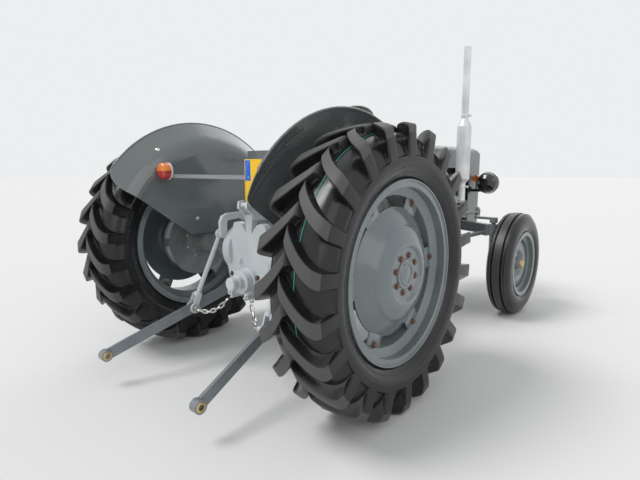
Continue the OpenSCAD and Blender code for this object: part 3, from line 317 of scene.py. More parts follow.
def slab(low, high, soft=2.0):
    # A box with rounded edges: the eight corners of the box less its edge radius, each pushed out along
    # the directions n of a coarse ball: P(n) = corner(signs of n) + soft * n
    low, high = np.asarray(low, float), np.asarray(high, float)
    soft = min(soft, *(np.abs(high - low) / 2.01))
    lon = np.repeat(np.arange(4) * np.pi / 2, 3) + np.tile([.12, .785, 1.45], 4)
    lat = np.array([-1.45, -.785, -.12, .12, .785, 1.45])
    ball = np.stack([np.cos(lat)[:, None] * np.cos(lon), np.cos(lat)[:, None] * np.sin(lon),
                     np.repeat(np.sin(lat)[:, None], len(lon), 1)], -1)
    corner = np.where(ball > 0, high - soft, low + soft)
    return grid(corner + soft * ball, closeV=True, capStart=True, capEnd=True)


def addPiece(name, part, look, body, sharp=32, mark=None, replaced=()):
    # Puts a worked-out shape into a mesh, shades it and lets it ride on a body
    points, sets = part
    data = bpy.data.meshes.new(name)
    data.from_pydata(place(points).tolist(), [], [row for f in sets for row in f.tolist()])
    data.validate()
    data.materials.append(finish[look])
    if mark is not None:
        data.attributes.new("scuffed", "FLOAT", "POINT").data.foreach_set("value", mark)
    piece = bpy.data.objects.new(name, data)
    bpy.context.scene.collection.objects.link(piece)
    data.shade_smooth()
    data.set_sharp_from_angle(angle=math.radians(sharp))
    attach(piece, body)
    if replaced:
        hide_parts(*replaced)


sides = (("left", 1), ("right", -1))

# Rear tyre: a carcass and two rows of leaning bars
rearTyre = dict(y=711, z=602, radius=602, half=142, rim=357.4, beadY=105.7, lugs=22, lean=14.3,
                carcass=564, widens=.22, ridges=(408, 431), stripeY=34)


def wallRows(tyre):
    # Section rows (y, r) from a bead up the wall, over the ledge where the bars end, to the crown,
    # with their corners cut
    half, crown, rim, bead = tyre["half"], tyre["carcass"], tyre["rim"], tyre["beadY"]
    return softened([
        [bead - 30, rim], [bead - 2, rim], [bead, rim + 6], [bead, rim + 26], [bead + 9, rim + 31],
        [bead + 21, rim + 48], [half - 1, rim + 80], [half, rim + 98], [half, rim + 109],
        [half - 1, rim + 113], [half - 9, rim + 115], [half - 15, rim + 130], [half - 23, crown - 46],
        [half - 38, crown - 21], [half - 66, crown - 5], [18, crown], [0, crown]], 2)


def carcass(tyre):
    # The wall rows and their mirror, spun about the axle, with fine ridges round both walls
    rows = wallRows(tyre)
    body = lathe(np.vstack([rows, rows[-2::-1] * [-1, 1]]), (0, 0, 0), turns=192, closed=True)
    ridges = []
    for r in tyre["ridges"]:
        y = np.interp(r, rows[:, 1], rows[:, 0])
        ridges += [lathe([[s * (y - 1), r - 2.6], [s * (y + .7), r - 1], [s * (y + .7), r + 1],
                          [s * (y - 1), r + 2.6]], (0, 0, 0), turns=144) for s in (1, -1)]
    return joined([body] + ridges)


def lugBars(tyre, side):
    # Slices along a bar: point = foot + lift * (top - foot), turned by lean(y) + share of the pitch.
    # The foot line runs over the carcass and the top line over the tread, then both run down the shoulder.
    half, crown, top = tyre["half"], tyre["carcass"], tyre["radius"]
    pitch = 2 * math.pi / tyre["lugs"]
    foot = softened([[-17, crown - 2], [-12, crown - 2], [20, crown - 2], [76, crown - 10],
                     [half - 40, crown - 27], [half - 27, crown - 50], [half - 19, crown - 72],
                     [half - 15, crown - 84], [half - 8, crown - 93], [half - 2, crown - 98]], 3)
    crest = softened([[-14, crown - 1], [-11, top - 2], [14, top], [74, top - 1], [112, top - 4],
                      [half - 7, top - 12], [half - 2, top - 38], [half, top - 84], [half, crown - 86],
                      [half - .5, crown - 97]], 3)
    along = np.linspace(0, 1, len(foot))
    leanAngle = math.radians(tyre["lean"]) * np.clip((foot[:, 0] + 8) / (half - 12), 0, 1) ** .86
    # Share of the pitch across a bar and how high that line of the bar is: fillets, walls and a flat top
    middle = .195
    shares = np.array([-.035, -.012, .008, .024, .038, .046, .054, .11, middle, .28, .336, .344, .352, .366,
                       .382, .402, .425])
    lift = np.array([.0, .05, .14, .40, .84, .97, 1, 1, 1, 1, 1, .97, .84, .40, .14, .05, .0])
    share = middle + (shares - middle) * (.96 + tyre["widens"] * along[:, None])
    taper = np.clip(np.minimum(along / .03, (1 - along) / .04), 0, 1)[:, None]
    rise = lift[None] * taper
    line = foot[:, None] + rise[..., None] * (crest - foot)[:, None]
    angle = leanAngle[:, None] + share * pitch
    points = np.stack([line[..., 1] * np.cos(angle), side * line[..., 0],
                       line[..., 1] * np.sin(angle)], -1)
    verts, sets = grid(points, closeV=True, capStart=True, capEnd=True)
    worn = np.concatenate([((lift > .9)[None] & (along < .66)[:, None]).reshape(-1), [False, False]])
    if side > 0:
        sets = [f[:, ::-1] for f in sets]
    offset = 0 if side > 0 else .5    # the two rows are staggered
    turns = aboutAxle((np.arange(tyre["lugs"]) + offset) * pitch)
    return copies((verts, sets), np.zeros((tyre["lugs"], 3)), turns), np.tile(worn, tyre["lugs"])


for label, side in sides:
    centre = np.array([0, side * rearTyre["y"], rearTyre["z"]])
    body = carcass(rearTyre)
    bars = [lugBars(rearTyre, s) for s in (1, -1)]
    mark = np.concatenate([np.zeros(len(body[0]))] + [m for _, m in bars]).astype(float)
    points, sets = joined([body] + [bar for bar, _ in bars])
    addPiece(f"rearTyre.{label}", (points + centre, sets), "tyreRubber", f"rear_wheel_{label}", sharp=28,
             mark=mark, replaced=[f"rear_tyre_{label}"])
    crown = rearTyre["carcass"]
    stripe = lathe([[-2.2, crown + .1], [-2, crown + .5], [2, crown + .5], [2.2, crown + .1]],
                   centre + [0, side * rearTyre["stripeY"], 0], turns=192)
    addPiece(f"treadStripe.{label}", stripe, "tealStripe", f"rear_wheel_{label}")

# Front tyre: three ribs with grooves between
frontTyre = dict(x=1778, y=666, z=358, radius=358, half=82.5, rim=205, beadY=57)


def frontRows(tyre):
    # Section rows (y, r): from a bead up the wall with cut corners, then over the ribs to the middle
    half, top, rim, bead = tyre["half"], tyre["radius"], tyre["rim"], tyre["beadY"]
    wall = [[bead - 14, rim], [bead, rim + 1], [bead + 1, rim + 15], [bead + 9, rim + 22],
            [half - 3, rim + 48], [half, rim + 76], [half - 3, rim + 104], [half - 12, top - 28]]
    ribs = [[half - 22, top - 19], [half - 26, top - 9], [half - 27, top - 7], [38, top - 4.5],
            [37, top - 5], [34.5, top - 19], [26.5, top - 19], [24.5, top - 2.5], [23.5, top - 1.5],
            [0, top]]
    return np.vstack([softened(wall, 2), ribs])


for label, side in sides:
    t, rows = frontTyre, frontRows(frontTyre)
    shape = lathe(np.vstack([rows, rows[-2::-1] * [-1, 1]]), (t["x"], side * t["y"], t["z"]), turns=144,
                  closed=True)
    reach = np.hypot(shape[0][:, 0] - t["x"], shape[0][:, 2] - t["z"])
    addPiece(f"frontTyre.{label}", shape, "tyreRubber", f"front_wheel_{label}", sharp=30,
             mark=(reach > t["radius"] - 6) * .5, replaced=[f"front_tyre_{label}"])
print("tyres made")

# Bolts, nuts and pins


def boltShape(r, washer=True):
    # A hexagon head with its top corners taken off, on a round washer; it stands along +Z from 0
    head = lathe([[.1 * r, .2 * r], [.1 * r, .98 * r], [.72 * r, r], [.9 * r, .84 * r]], (0, 0, 0),
                 (0, 0, 1), turns=6, capStart=True, capEnd=True)
    if not washer:
        return head
    disc = lathe([[0, .3 * r], [0, 1.4 * r], [.16 * r, 1.42 * r], [.22 * r, 1.3 * r], [.22 * r, .3 * r]],
                 (0, 0, 0), (0, 0, 1), turns=20, closed=True)
    return joined([head, disc])


def turned(axis, count, spin=0.0):
    # The turn that takes +Z to the axis, with a spin a about it, the same for every copy: its columns are
    # first cos a + second sin a, second cos a - first sin a, and the axis
    axis, first, second = across(axis)
    c, s = math.cos(spin), math.sin(spin)
    return np.repeat(np.stack([c * first + s * second, c * second - s * first, axis], 1)[None], count, 0)


def bolts(spots, axis, r, washer=True, spin=.3):
    # A bolt on each spot, its +Z turned to the axis
    spots = np.atleast_2d(np.asarray(spots, float))
    return copies(boltShape(r, washer), spots, turned(axis, len(spots), spin))


def ring(centre, axis, r, count, start=0.0):
    # Points round a circle: centre + r (first cos a + second sin a)
    _, first, second = across(axis)
    a = np.radians(start) + np.arange(count) * 2 * np.pi / count
    return np.asarray(centre, float) + r * (np.cos(a)[:, None] * first + np.sin(a)[:, None] * second)


# Rear discs: a pressed dome with a sunk middle, its cone, six tongues, and the hub and drum behind it
disc = dict(thick=6, edge=268, tongue=(262, 314, 96), tongueY=(51.5, 58.5), tongues=6, firstTongue=4)


def discShape(d):
    # Outer face rows (y, r) from the middle to the edge, the same rows a sheet's thickness behind, spun
    face = softened([[117, .1], [117, 100], [119, 108], [127, 114], [129.5, 124], [121, 152], [106, 186],
                     [101, 193], [96, 198], [72, 238], [57, 262], [54, d["edge"]]], 2)
    behind = face[::-1] - [d["thick"], 0]
    dish = lathe(np.vstack([face, [[48, d["edge"] + .6]], behind]), (0, 0, 0), turns=144)
    hub = lathe([[-175, .1], [-175, 35], [-117, 35], [-117, 187], [-112, 192], [-61, 192], [-50, 183],
                 [-49, 70], [40, 60], [80, 98], [110, 100]], (0, 0, 0), turns=96)
    near, far, wide = d["tongue"]
    tongue = slab((near, d["tongueY"][0], -wide / 2), (far, d["tongueY"][1], wide / 2), 2)
    angles = np.radians(d["firstTongue"] + 360 / d["tongues"] * np.arange(d["tongues"]))
    return joined([dish, hub, copies(tongue, np.zeros((d["tongues"], 3)), aboutAxle(angles))])


for label, side in sides:
    points, sets = discShape(disc)
    if side < 0:
        sets = [f[:, ::-1] for f in sets]
    points = points * [1, side, 1] + [0, side * rearTyre["y"], rearTyre["z"]]
    addPiece(f"rearDisc.{label}", (points, sets), "discEnamel", f"rear_wheel_{label}",
             replaced=[f"rear_disc_{label}"])

# Wheels: hub bolts in a copper primer, bracket bolts, caps, hub nuts, rivets and valves
wheel = dict(hubFace=828.2, hubCircle=76, hubBolts=8, hubStart=31, hubBoltR=10.5, bracketFace=769.6,
             bracketCircle=305, bracketStart=4, bracketBolts=6, bracketBoltR=11.5, bracketGrip=27.5,
             valve=((-322, 722, 602), (-328, 745, 603), (-333, 772, 604)), valveR=4)
frontHub = dict(nutCircle=59, nuts=6, nutStart=15, nutR=10, rivetCircle=132, rivets=6, rivetStart=10,
                rivetFace=33)
for label, side in sides:
    hub = np.array([0, side * wheel["hubFace"], rearTyre["z"]])
    out = np.array([0, side, 0])
    body = f"rear_wheel_{label}"
    spots = ring(hub, out, wheel["hubCircle"], wheel["hubBolts"], wheel["hubStart"])
    addPiece(f"hubBolts.{label}", bolts(spots, out, wheel["hubBoltR"]), "copperBolt", body)
    cap = lathe([[0, 62], [3, 62], [4.5, 60], [4.5, 50], [7, 47], [9, 44], [9, 40], [5, 36], [5, 30],
                 [8, 24], [9, 12], [9.4, 0.1]], hub, out, turns=72, capEnd=True)
    addPiece(f"hubCap.{label}", cap, "discEnamel", body)
    count = wheel["bracketBolts"]
    angle = np.radians(wheel["bracketStart"] + 360 / count * np.arange(count))
    spots = np.stack([wheel["bracketCircle"] * np.cos(angle), np.full(count, side * wheel["bracketFace"]),
                      rearTyre["z"] + wheel["bracketCircle"] * np.sin(angle)], 1)
    addPiece(f"bracketBolts.{label}", bolts(spots, out, wheel["bracketBoltR"]), "copperBolt", body)
    nuts = bolts(spots - out * wheel["bracketGrip"], -out, wheel["bracketBoltR"])
    addPiece(f"bracketNuts.{label}", nuts, "darkBolt", body)
    valve = tube(curved(np.array(wheel["valve"]) * [1, side, 1], 10), wheel["valveR"], sides=12)
    addPiece(f"rearValve.{label}", valve, "hardRubber", body)
    front = np.array([frontTyre["x"], side * frontTyre["y"], frontTyre["z"]])
    body = f"front_wheel_{label}"
    spots = ring(front + out * .5, out, frontHub["nutCircle"], frontHub["nuts"], frontHub["nutStart"])
    nuts = bolts(spots, out, frontHub["nutR"])
    grease = lathe([[51, 31], [54, 30], [62, 27], [66, 20], [67, .1]], front, out, turns=40, capEnd=True)
    addPiece(f"frontNuts.{label}", nuts, "brass", body)
    addPiece(f"greaseCap.{label}", grease, "brass", body)
    rivet = lathe([[0, 6], [2.4, 5], [3.6, 2.5], [4, .1]], (0, 0, 0), (0, 0, 1), turns=12, capEnd=True)
    spots = ring(front + out * frontHub["rivetFace"], out, frontHub["rivetCircle"], frontHub["rivets"],
                 frontHub["rivetStart"])
    rivets = copies(rivet, spots, turned(out, len(spots)))
    addPiece(f"frontRivets.{label}", rivets, "rimEnamel", body)
print("wheels dressed")

# Fenders: domed fixing bolts on the inner face
fender = dict(plateY=420, flat=505, bend=130, turn=48,
              bolts=((-310, 1119), (-115, 750), (320, 1094), (420, 900)))


def fenderFace(spots):
    # The inner face: flat out to a circle about the axle, then bent outwards: y = Y + B (1 - cos a),
    # r = F + B sin a, and straight on past the last turn; the way out of it is (r sin a, -cos a)
    way = np.asarray(spots, float) - [0, rearTyre["z"]]
    r = np.linalg.norm(way, axis=1)
    last = math.sin(math.radians(fender["turn"]))
    share = (r - fender["flat"]) / fender["bend"]
    bend = np.arcsin(np.clip(share, 0, last))
    y = fender["plateY"] + fender["bend"] * (1 - np.cos(bend) + np.clip(share - last, 0, 1) * np.tan(bend))
    out = np.column_stack([way[:, 0] / r * np.sin(bend), -np.cos(bend), way[:, 1] / r * np.sin(bend)])
    return np.column_stack([way[:, 0], y, way[:, 1] + rearTyre["z"]]), out


boltSpots, boltWays = fenderFace(fender["bolts"])
for label, side in sides:
    dome = lathe([[0, 11], [1.2, 11], [2, 9], [4.6, 6], [5.6, 2.6], [5.8, .1]], (0, 0, 0), (0, 0, 1),
                 turns=20, capEnd=True)
    flip = np.array([1, side, 1])
    turns = np.concatenate([turned(way * flip, 1) for way in boltWays])
    addPiece(f"fenderBolts.{label}", copies(dome, boltSpots * flip, turns), "zincSteel", "chassis")

# Tail lamps: a grey base, an amber half above and a red half below, ribbed round the rim
tail = dict(x=-309, y=376, z=1010, depth=46, r=42.5, ribs=36, gap=.3)


def lensHalf(lamp, side, upper):
    # Half a dome: r = R (1 - t^5)^0.42 with ribs as a small cosine wave, x = X - D (1 - (1 - t)^1.5), the
    # angle over one half circle; a second grid lies flat along the parting line and closes it
    t = np.linspace(0, 1, 14)[:, None]
    a = (0 if upper else np.pi) + np.linspace(.015, np.pi - .015, 60)[None]
    r = (lamp["r"] - 1.2) * (1 - t ** 5) ** .42 + .25 * np.cos(a * lamp["ribs"]) * (t > .1) * (t < .75)
    x = np.broadcast_to(lamp["x"] - 6 - (lamp["depth"] - 4) * (1 - (1 - t) ** 1.5), r.shape)
    dome = np.stack([x, side * lamp["y"] + r * np.cos(a), lamp["z"] + r * np.sin(a)], -1)
    parting = lamp["z"] + (lamp["gap"] if upper else -lamp["gap"])
    flat = np.stack([x, side * lamp["y"] + r * np.cos(a) * .999, np.full_like(r, parting)], -1)
    return joined([grid(dome), grid(flat[:, ::-1])])


for label, side in sides:
    centre = (tail["x"], side * tail["y"], tail["z"])
    base = lathe([[-2, 20], [-2, 41], [-1, 42.4], [7, 42.4], [8, 41], [8, 20]], centre, (-1, 0, 0),
                 turns=48, closed=True)
    addPiece(f"tailBase.{label}", base, "castEnamelSunlit", "chassis",
             replaced=["tail_lamps"] if side > 0 else ())
    for name, upper, look in (("Amber", True, "amberLens"), ("Red", False, "redLens")):
        addPiece(f"tail{name}.{label}", lensHalf(tail, side, upper), look, "chassis", sharp=50)

# Number plate: a yellow sheet with a raised rim and a blue strip on the upper half of its left edge
plate = dict(x=-309, right=-324, left=-216, low=885, high=1061, screwY=(-300, -243), screwZ=985)
p = plate
sheet = slab((p["x"] - 2.2, p["right"], p["low"]), (p["x"], p["left"], p["high"]), 1)
rim = np.array([[p["x"] - 2.3, y, z] for y, z in softened(
    [[p["right"] + 3, p["low"] + 3], [p["left"] - 3, p["low"] + 3], [p["left"] - 3, p["high"] - 3],
     [p["right"] + 3, p["high"] - 3]], 3, closed=True)])
addPiece("numberPlate", joined([sheet, tube(rim, .7, sides=8, closed=True)]), "plateYellow", "chassis",
         replaced=["number_plate"])
middle = (p["low"] + p["high"]) / 2
strip = slab((p["x"] - 2.7, p["left"] - 38, middle - 2), (p["x"] - 2, p["left"] - 3.5, p["high"] - 3.5), .3)
addPiece("plateStrip", strip, "plateBlue", "chassis")
screws = [[p["x"] - 2.4, y, p["screwZ"]] for y in p["screwY"]]
addPiece("plateScrews", bolts(screws, (-1, 0, 0), 4, washer=False), "zincSteel", "chassis")
print("fenders, lamps and plate dressed")

# Rear housing: flange bolts, cover bolts, the level plug, and washers and linch rings on the yoke's pin
housing = dict(back=-122.2, backBolts=((124, 486), (73, 492), (102, 444)), coverX=(-50, 40, 160, 230),
               coverY=127, coverZ=700, plug=(-110.5, 70, 560), axleZ=602, flangeY=190.2, flangeCircle=113,
               flangeBolts=12, brakeY=575.6, brakeCircle=84, brakeBolts=8, chainBolt=(-190, 64, 412))
backBolts = [[housing["back"], side * y, z] for _, side in sides for y, z in housing["backBolts"]]
addPiece("flangeBolts", bolts(backBolts, (-1, 0, 0), 9.5), "darkBolt", "chassis")
coverBolts = [[x, side * housing["coverY"], housing["coverZ"]] for x in housing["coverX"]
              for _, side in sides]
addPiece("coverBolts", bolts(coverBolts, (0, 0, 1), 8.5), "castEnamelSunlit", "chassis")
addPiece("levelPlug", bolts([housing["plug"]], (-1, 0, 0), 13), "castEnamelSunlit", "chassis")
yoke = dict(x=-130, z=846, ears=36, bore=11.2, linchR=14.5, wire=1.7)
collars = []
for _, side in sides:
    spot = (yoke["x"], side * yoke["ears"], yoke["z"])
    bore = yoke["bore"]
    collars.append(lathe([[.1, bore], [.1, 17], [2, 17.4], [2.4, 16], [2.4, bore]], spot, (0, side, 0),
                         turns=32, closed=True))
    loop = np.linspace(0, 2 * np.pi, 33)[:-1]
    linch = np.column_stack([yoke["x"] + yoke["linchR"] * np.cos(loop),
                             np.full(len(loop), side * (yoke["ears"] + 5.4)),
                             yoke["z"] - 3 + yoke["linchR"] * np.sin(loop)])
    collars.append(tube(linch, yoke["wire"], sides=8, closed=True))
addPiece("yokePin", joined(collars), "zincSteel", "chassis")
for label, side in sides:
    chainBolt = bolts(np.array(housing["chainBolt"]) * [1, side, 1], (-1, 0, 0), 8)
    addPiece(f"chainBolt.{label}", chainBolt, "zincSteel", "chassis")
    spots = ring((0, side * housing["flangeY"], housing["axleZ"]), (0, side, 0), housing["flangeCircle"],
                 housing["flangeBolts"], 15)
    addPiece(f"housingBolts.{label}", bolts(spots, (0, side, 0), 8.5), "castEnamelSunlit", "chassis")
    spots = ring((0, side * housing["brakeY"], housing["axleZ"]), (0, -side, 0), housing["brakeCircle"],
                 housing["brakeBolts"], 22)
    addPiece(f"brakeBolts.{label}", bolts(spots, (0, -side, 0), 8), "castEnamelSunlit", "chassis")

# Lower links: brass rings of the balls in their eyes, and the nuts on the pins at their front ends
link = dict(ball=(-690, 370, 150), nut=(60, 239.4, 420), nutR=16)
for label, side in sides:
    body = f"lower_link_{label}"
    x, y, z = link["ball"]
    for name, out in (("outer", 1), ("inner", -1)):
        ballRing = lathe([[18.6, 21.5], [19.6, 21], [20.8, 18.5], [21.4, 15], [21.2, 11.6], [18.6, 11.4]],
                         (x, side * y, z), (0, out, 0), turns=48, closed=True)
        addPiece(f"ball_{name}.{label}", ballRing, "brass", body)
    nut = bolts(np.array(link["nut"]) * [1, side, 1], (0, side, 0), link["nutR"])
    addPiece(f"linkNut.{label}", nut, "castEnamelSunlit", "chassis")
print("linkage dressed")

# Exhaust: a clamp below and one above the silencer
pipe = dict(x=1625, y=-318, r=24.5, clampZ=dict(low=894, high=1390), clampHalf=9)
for name, height in pipe["clampZ"].items():
    r, wide, edge = pipe["r"], pipe["clampHalf"], pipe["y"] - pipe["r"]
    band = lathe([[-wide, r + .2], [-wide, r + 2.4], [2 - wide, r + 3], [wide - 2, r + 3], [wide, r + 2.4],
                  [wide, r + .2]], (pipe["x"], pipe["y"], height), (0, 0, 1), turns=40, closed=True)
    ear = slab((pipe["x"] - 6, edge - 20, height - 8), (pipe["x"] + 6, edge - 1, height + 8), 2)
    nut = bolts([[pipe["x"] + 6, edge - 12, height]], (1, 0, 0), 6)
    addPiece(f"pipeClamp.{name}", joined([band, ear, nut]), "aluminiumPaint", "chassis")

# Engine: plugs with their caps and leads to the distributor, then bolts, flanges, hoses, belt and fuel line
ignition = dict(firstX=1400, pitch=110, plugs=4, y=92, z=930, lean=(0, .25, 1), leadR=3.6,
                distributor=(1470, 168, 730))
distX, distY, distZ = ignition["distributor"]
plugs, leads, caps = [], [], []
for k in range(ignition["plugs"]):
    x = ignition["firstX"] + ignition["pitch"] * k
    foot = (x, ignition["y"], ignition["z"])
    plugs.append(lathe([[0, 9], [8, 9], [9, 6.5], [14, 6], [15, 7.5], [24, 6.5], [30, 5], [31, .1]], foot,
                       ignition["lean"], turns=16, capStart=True, capEnd=True))
    caps.append(lathe([[24, 7], [26, 9], [40, 8], [46, 5], [47, .1]], foot, ignition["lean"], turns=16,
                      capStart=True, capEnd=True))
    way = curved([[x, 104, 974], [x, 112, 1000], [x - 10, 140, 985], [1560 + 8 * k, 150, 940],
                  [distX + 4 + 5 * k, distY - 4 * k, distZ + 70], [distX + 7 * k, distY, distZ + 22],
                  [distX, distY, distZ + 5]])
    leads.append(tube(way, ignition["leadR"], sides=8))
addPiece("sparkPlugs", joined(plugs), "zincSteel", "chassis")
addPiece("plugCaps", joined(caps), "blackGloss", "chassis")
addPiece("plugLeads", joined(leads), "hardRubber", "chassis")
capBody = lathe([[0, 40], [14, 41], [30, 36], [34, 26], [34, .1]], ignition["distributor"], (0, 0, 1),
                turns=32, capEnd=True)
addPiece("distributorCap", capBody, "blackGloss", "chassis")
block = dict(headX=(1330, 1830, 82), headY=96, headZ=930, nutX=(1400, 1560, 1730), nutZ=995,
             sumpX=(1320, 1840, 64), sumpY=119, sumpZ=526, portX=1385, portPitch=112, ports=4, portZ=800)
headBolts = [[x, side * block["headY"], block["headZ"]] for x in np.arange(*block["headX"])
             for _, side in sides]
coverNuts = [[x, 0, block["nutZ"]] for x in block["nutX"]]
addPiece("headBolts", joined([bolts(headBolts, (0, 0, 1), 10), bolts(coverNuts, (0, 0, 1), 11)]),
         "engineEnamel", "chassis")
sumpBolts = [[x, side * block["sumpY"], block["sumpZ"]] for x in np.arange(*block["sumpX"])
             for _, side in sides]
addPiece("sumpBolts", bolts(sumpBolts, (0, 0, 1), 7), "engineEnamel", "chassis")
ports = [block["portX"] + block["portPitch"] * k for k in range(block["ports"])]
flanges = copies(slab((-44, -4, -22), (44, 4, 22), 3), [[x, -122, block["portZ"]] for x in ports])
flangeNuts = [[x + d, -126.5, block["portZ"]] for x in ports for d in (-34, 34)]
addPiece("manifoldFlanges", joined([flanges, bolts(flangeNuts, (0, -1, 0), 8)]), "engineEnamel", "chassis")
pipes = dict(
    top=((1790, 0, 985), (1800, 0, 1030), (1850, 0, 1052), (1982, 0, 1052)), topR=23,
    low=((1856, 60, 690), (1900, 110, 700), (1960, 120, 712), (2018, 120, 716)), lowR=18,
    fuel=((1650, -60, 1032), (1650, -90, 990), (1600, -150, 930), (1500, -196, 860), (1500, -196, 790)),
    fuelR=4)
hoses = [tube(curved(pipes["top"]), pipes["topR"], sides=20),
         tube(curved(pipes["low"]), pipes["lowR"], sides=18)]
addPiece("radiatorHoses", joined(hoses), "hardRubber", "chassis")


def fanBelt(first, second, x, count=96):
    # The loop round two pulleys (y, z, r) in the plane x: for each direction n the farther of the points
    # c + r n of the two circles, which is the hull of both
    a = np.linspace(0, 2 * np.pi, count, endpoint=False)
    aim = np.stack([np.cos(a), np.sin(a)], 1)
    reach = np.stack([np.array(c) @ aim.T + r for *c, r in (first, second)])
    best = reach.argmax(0)
    centres = np.array([first[:2], second[:2]])[best]
    radii = np.array([first[2], second[2]])[best]
    loop = centres + radii[:, None] * aim
    return np.column_stack([np.full(count, x), loop])


drive = dict(x=1868, fan=(0, 840, 47), crank=(0, 560, 60), beltR=5.5)
belt = tube(fanBelt(drive["fan"], drive["crank"], drive["x"]), drive["beltR"], sides=8, closed=True)
addPiece("fanBelt", belt, "hardRubber", "chassis")
pulleys = joined([lathe([[-8, 20], [-8, 52], [-2, 45], [2, 45], [8, 52], [8, 20]],
                        (drive["x"], *drive["fan"][:2]), (1, 0, 0), turns=48, closed=True),
                  lathe([[-10, 20], [-10, 66], [-2, 57], [2, 57], [10, 66], [10, 20]],
                        (drive["x"], *drive["crank"][:2]), (1, 0, 0), turns=48, closed=True)])
addPiece("beltPulleys", pulleys, "engineEnamel", "chassis")
addPiece("fuelLine", tube(curved(pipes["fuel"]), pipes["fuelR"], sides=8), "brass", "chassis")
print("engine dressed")

# Dash: dials with rims and pointers, and three knobs; bonnet: filler cap and catches
dials = dict(x=930.5, z=1075, r=30, across=(-96, 96), tip=(-1, 0, .07), knobX=931, knobY=(-60, 0, 60),
             knobZ=1010)
faces, rims, needles = [], [], []
for y in dials["across"]:
    spot = (dials["x"], y, dials["z"])
    faces.append(lathe([[1, dials["r"]], [1.2, .1]], spot, dials["tip"], turns=40, capEnd=True))
    rims.append(lathe([[0, 29], [0, 34], [3, 34.5], [5, 33], [5, 30], [3, 29]], spot, dials["tip"],
                      turns=48, closed=True))
    needles.append(slab((dials["x"] - 4, y - 1.2, dials["z"] - 4),
                        (dials["x"] - 3, y + 1.2, dials["z"] + 22), .5))
addPiece("dialFaces", joined(faces), "dialFace", "chassis")
addPiece("dialRims", joined(rims), "chrome", "chassis")
addPiece("dialNeedles", joined(needles), "blackGloss", "chassis")
knob = lathe([[0, 5], [10, 5], [11, 12], [20, 13], [24, 9], [25, .1]], (0, 0, 0), (-1, 0, 0), turns=24,
             capEnd=True)
knobs = copies(knob, [[dials["knobX"], y, dials["knobZ"]] for y in dials["knobY"]])
addPiece("dashKnobs", knobs, "blackGloss", "chassis")
bonnetTrim = dict(cap=(1500, 0, 1204), catchX=1075, catchY=208, catchLow=1040, catchHigh=1075,
                  catchBoltZ=1058)
fuelCap = lathe([[0, 34], [2, 36], [10, 36], [13, 33], [16, 20], [17, .1]], bonnetTrim["cap"], (0, 0, 1),
                turns=48, capEnd=True)
addPiece("fillerCap", fuelCap, "chrome", "bonnet")
for label, side in sides:
    x, y = bonnetTrim["catchX"], side * bonnetTrim["catchY"]
    body = slab((x - 15, y - 3, bonnetTrim["catchLow"]), (x + 15, y + 3, bonnetTrim["catchHigh"]), 2)
    catch = joined([body, bolts([[x, y + side * 3, bonnetTrim["catchBoltZ"]]], (0, side, 0), 6)])
    addPiece(f"bonnetCatch.{label}", catch, "zincSteel", "bonnet")

# Headlamps: chrome rims, domed glass, and amber indicators beside them
head = dict(x=2048.5, y=350, z=913, r=82.5, cut=1.2, indicator=(2036, 246, 945, 26, 40))
for label, side in sides:
    spot = (head["x"], side * head["y"], head["z"])
    r = head["r"]
    rim = lathe([[-22, r + .2], [-22, r + 2.2], [-4, r + 2.6], [0, r - 1], [1.5, r - 8], [-3, r - 10],
                 [-6, r - 6]], spot, (1, 0, 0), turns=72, closed=True)
    addPiece(f"lampRim.{label}", rim, "chrome", "bonnet")
    # The glass is a cap of a flattened ball: h = -3 + 12 cos t, r = (R - 8) sin t / sin cut, t to the cut
    t = head["cut"] * np.linspace(0, 1, 16)
    dome = np.stack([-3 + 12 * np.cos(t), (r - 8) * np.sin(t) / np.sin(head["cut"]) + .05], 1)[::-1]
    glass = lathe(dome, spot, (1, 0, 0), turns=72, capEnd=True)
    addPiece(f"lampGlass.{label}", glass, "clearLens", "bonnet")
    x, y, z, r, deep = head["indicator"]
    lens = lathe([[-.3, r - 2], [-.3, r + .6], [deep - 14, r + .6], [deep - 5, r - 3], [deep + .4, r - 12],
                  [deep + .6, .1]], (x, side * y, z), (1, 0, 0), turns=48, capStart=True, capEnd=True)
    addPiece(f"indicator.{label}", lens, "amberLens", "bonnet")
print("lamps dressed")

# Stage, light and camera

stage = dict(floorHalf=60, paper=(.80, .80, .79), sky=.56, seenSky=.865)


def stagePaper():
    # The floor's paper: one plain, nearly matt colour
    mat = bpy.data.materials.new("stagePaper")
    mat.use_nodes = True
    shader = mat.node_tree.nodes["Principled BSDF"]
    shader.inputs["Base Color"].default_value = (*stage["paper"], 1)
    shader.inputs["Roughness"].default_value = .75
    shader.inputs["Specular IOR Level"].default_value = .2
    return mat


half = stage["floorHalf"]
floorData = bpy.data.meshes.new("studioFloor")
corners = [(-half, -half, 0), (half, -half, 0), (half, half, 0), (-half, half, 0)]
floorData.from_pydata(corners, [], [(0, 1, 2, 3)])
floorData.materials.append(stagePaper())
studioFloor = bpy.data.objects.new("studioFloor", floorData)
bpy.context.scene.collection.objects.link(studioFloor)

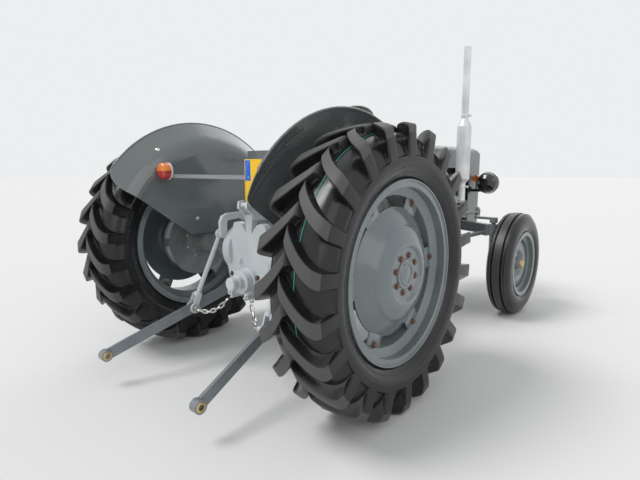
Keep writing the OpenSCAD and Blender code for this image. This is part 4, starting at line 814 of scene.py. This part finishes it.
# World: an even sky for light, near-white where the camera, a gloss or a glass looks at it
world = bpy.data.worlds.new("studio")
bpy.context.scene.world = world
world.use_nodes = True
tree = world.node_tree
back = tree.nodes["Background"]
back.inputs["Color"].default_value = (.97, .985, 1, 1)
path = tree.nodes.new("ShaderNodeLightPath")
seen = None
for ray in ("Is Camera Ray", "Is Glossy Ray", "Is Transmission Ray"):
    if seen is None:
        seen = path.outputs[ray]
    else:
        either = tree.nodes.new("ShaderNodeMath")
        either.operation = "MAXIMUM"
        tree.links.new(seen, either.inputs[0])
        tree.links.new(path.outputs[ray], either.inputs[1])
        seen = either.outputs[0]
level = tree.nodes.new("ShaderNodeMapRange")
level.inputs["To Min"].default_value = stage["sky"]
level.inputs["To Max"].default_value = stage["seenSky"]
tree.links.new(seen, level.inputs["Value"])
tree.links.new(level.outputs["Result"], back.inputs["Strength"])

# Soft suns: the way each shines from, its strength and how wide it looks in degrees
suns = {
    "keySun": ((-2.2, 1.9, 4.2), 1.5, 24),
    "sideSun": ((-1.2, -4.0, 2.2), .45, 50),
    "frontSun": ((4.2, 1.4, 2.6), .35, 50)}
for name, (spot, strength, wide) in suns.items():
    lamp = bpy.data.lights.new(name, "SUN")
    lamp.energy, lamp.angle = strength, math.radians(wide)
    holder = bpy.data.objects.new(name, lamp)
    bpy.context.scene.collection.objects.link(holder)
    holder.rotation_euler = Vector(spot).to_track_quat("Z", "Y").to_euler()

# Camera at the photograph's place: focal length in pixels of a picture 640 wide
cameraPlace = dict(spot=(-1639.4, -1788.4, 1021.7), yaw=40.84, pitch=-8.57, focal=473.17, width=640)
cam = bpy.data.cameras.new("photoCamera")
cam.sensor_width = 36
cam.lens = cameraPlace["focal"] / cameraPlace["width"] * cam.sensor_width
eye = bpy.data.objects.new("photoCamera", cam)
bpy.context.scene.collection.objects.link(eye)
eye.location = place(cameraPlace["spot"])
eye.rotation_euler = (math.radians(90 + cameraPlace["pitch"]), 0, math.radians(cameraPlace["yaw"] - 90))
bpy.context.scene.camera = eye
bpy.context.scene.view_settings.view_transform = "Standard"
print("stage set")
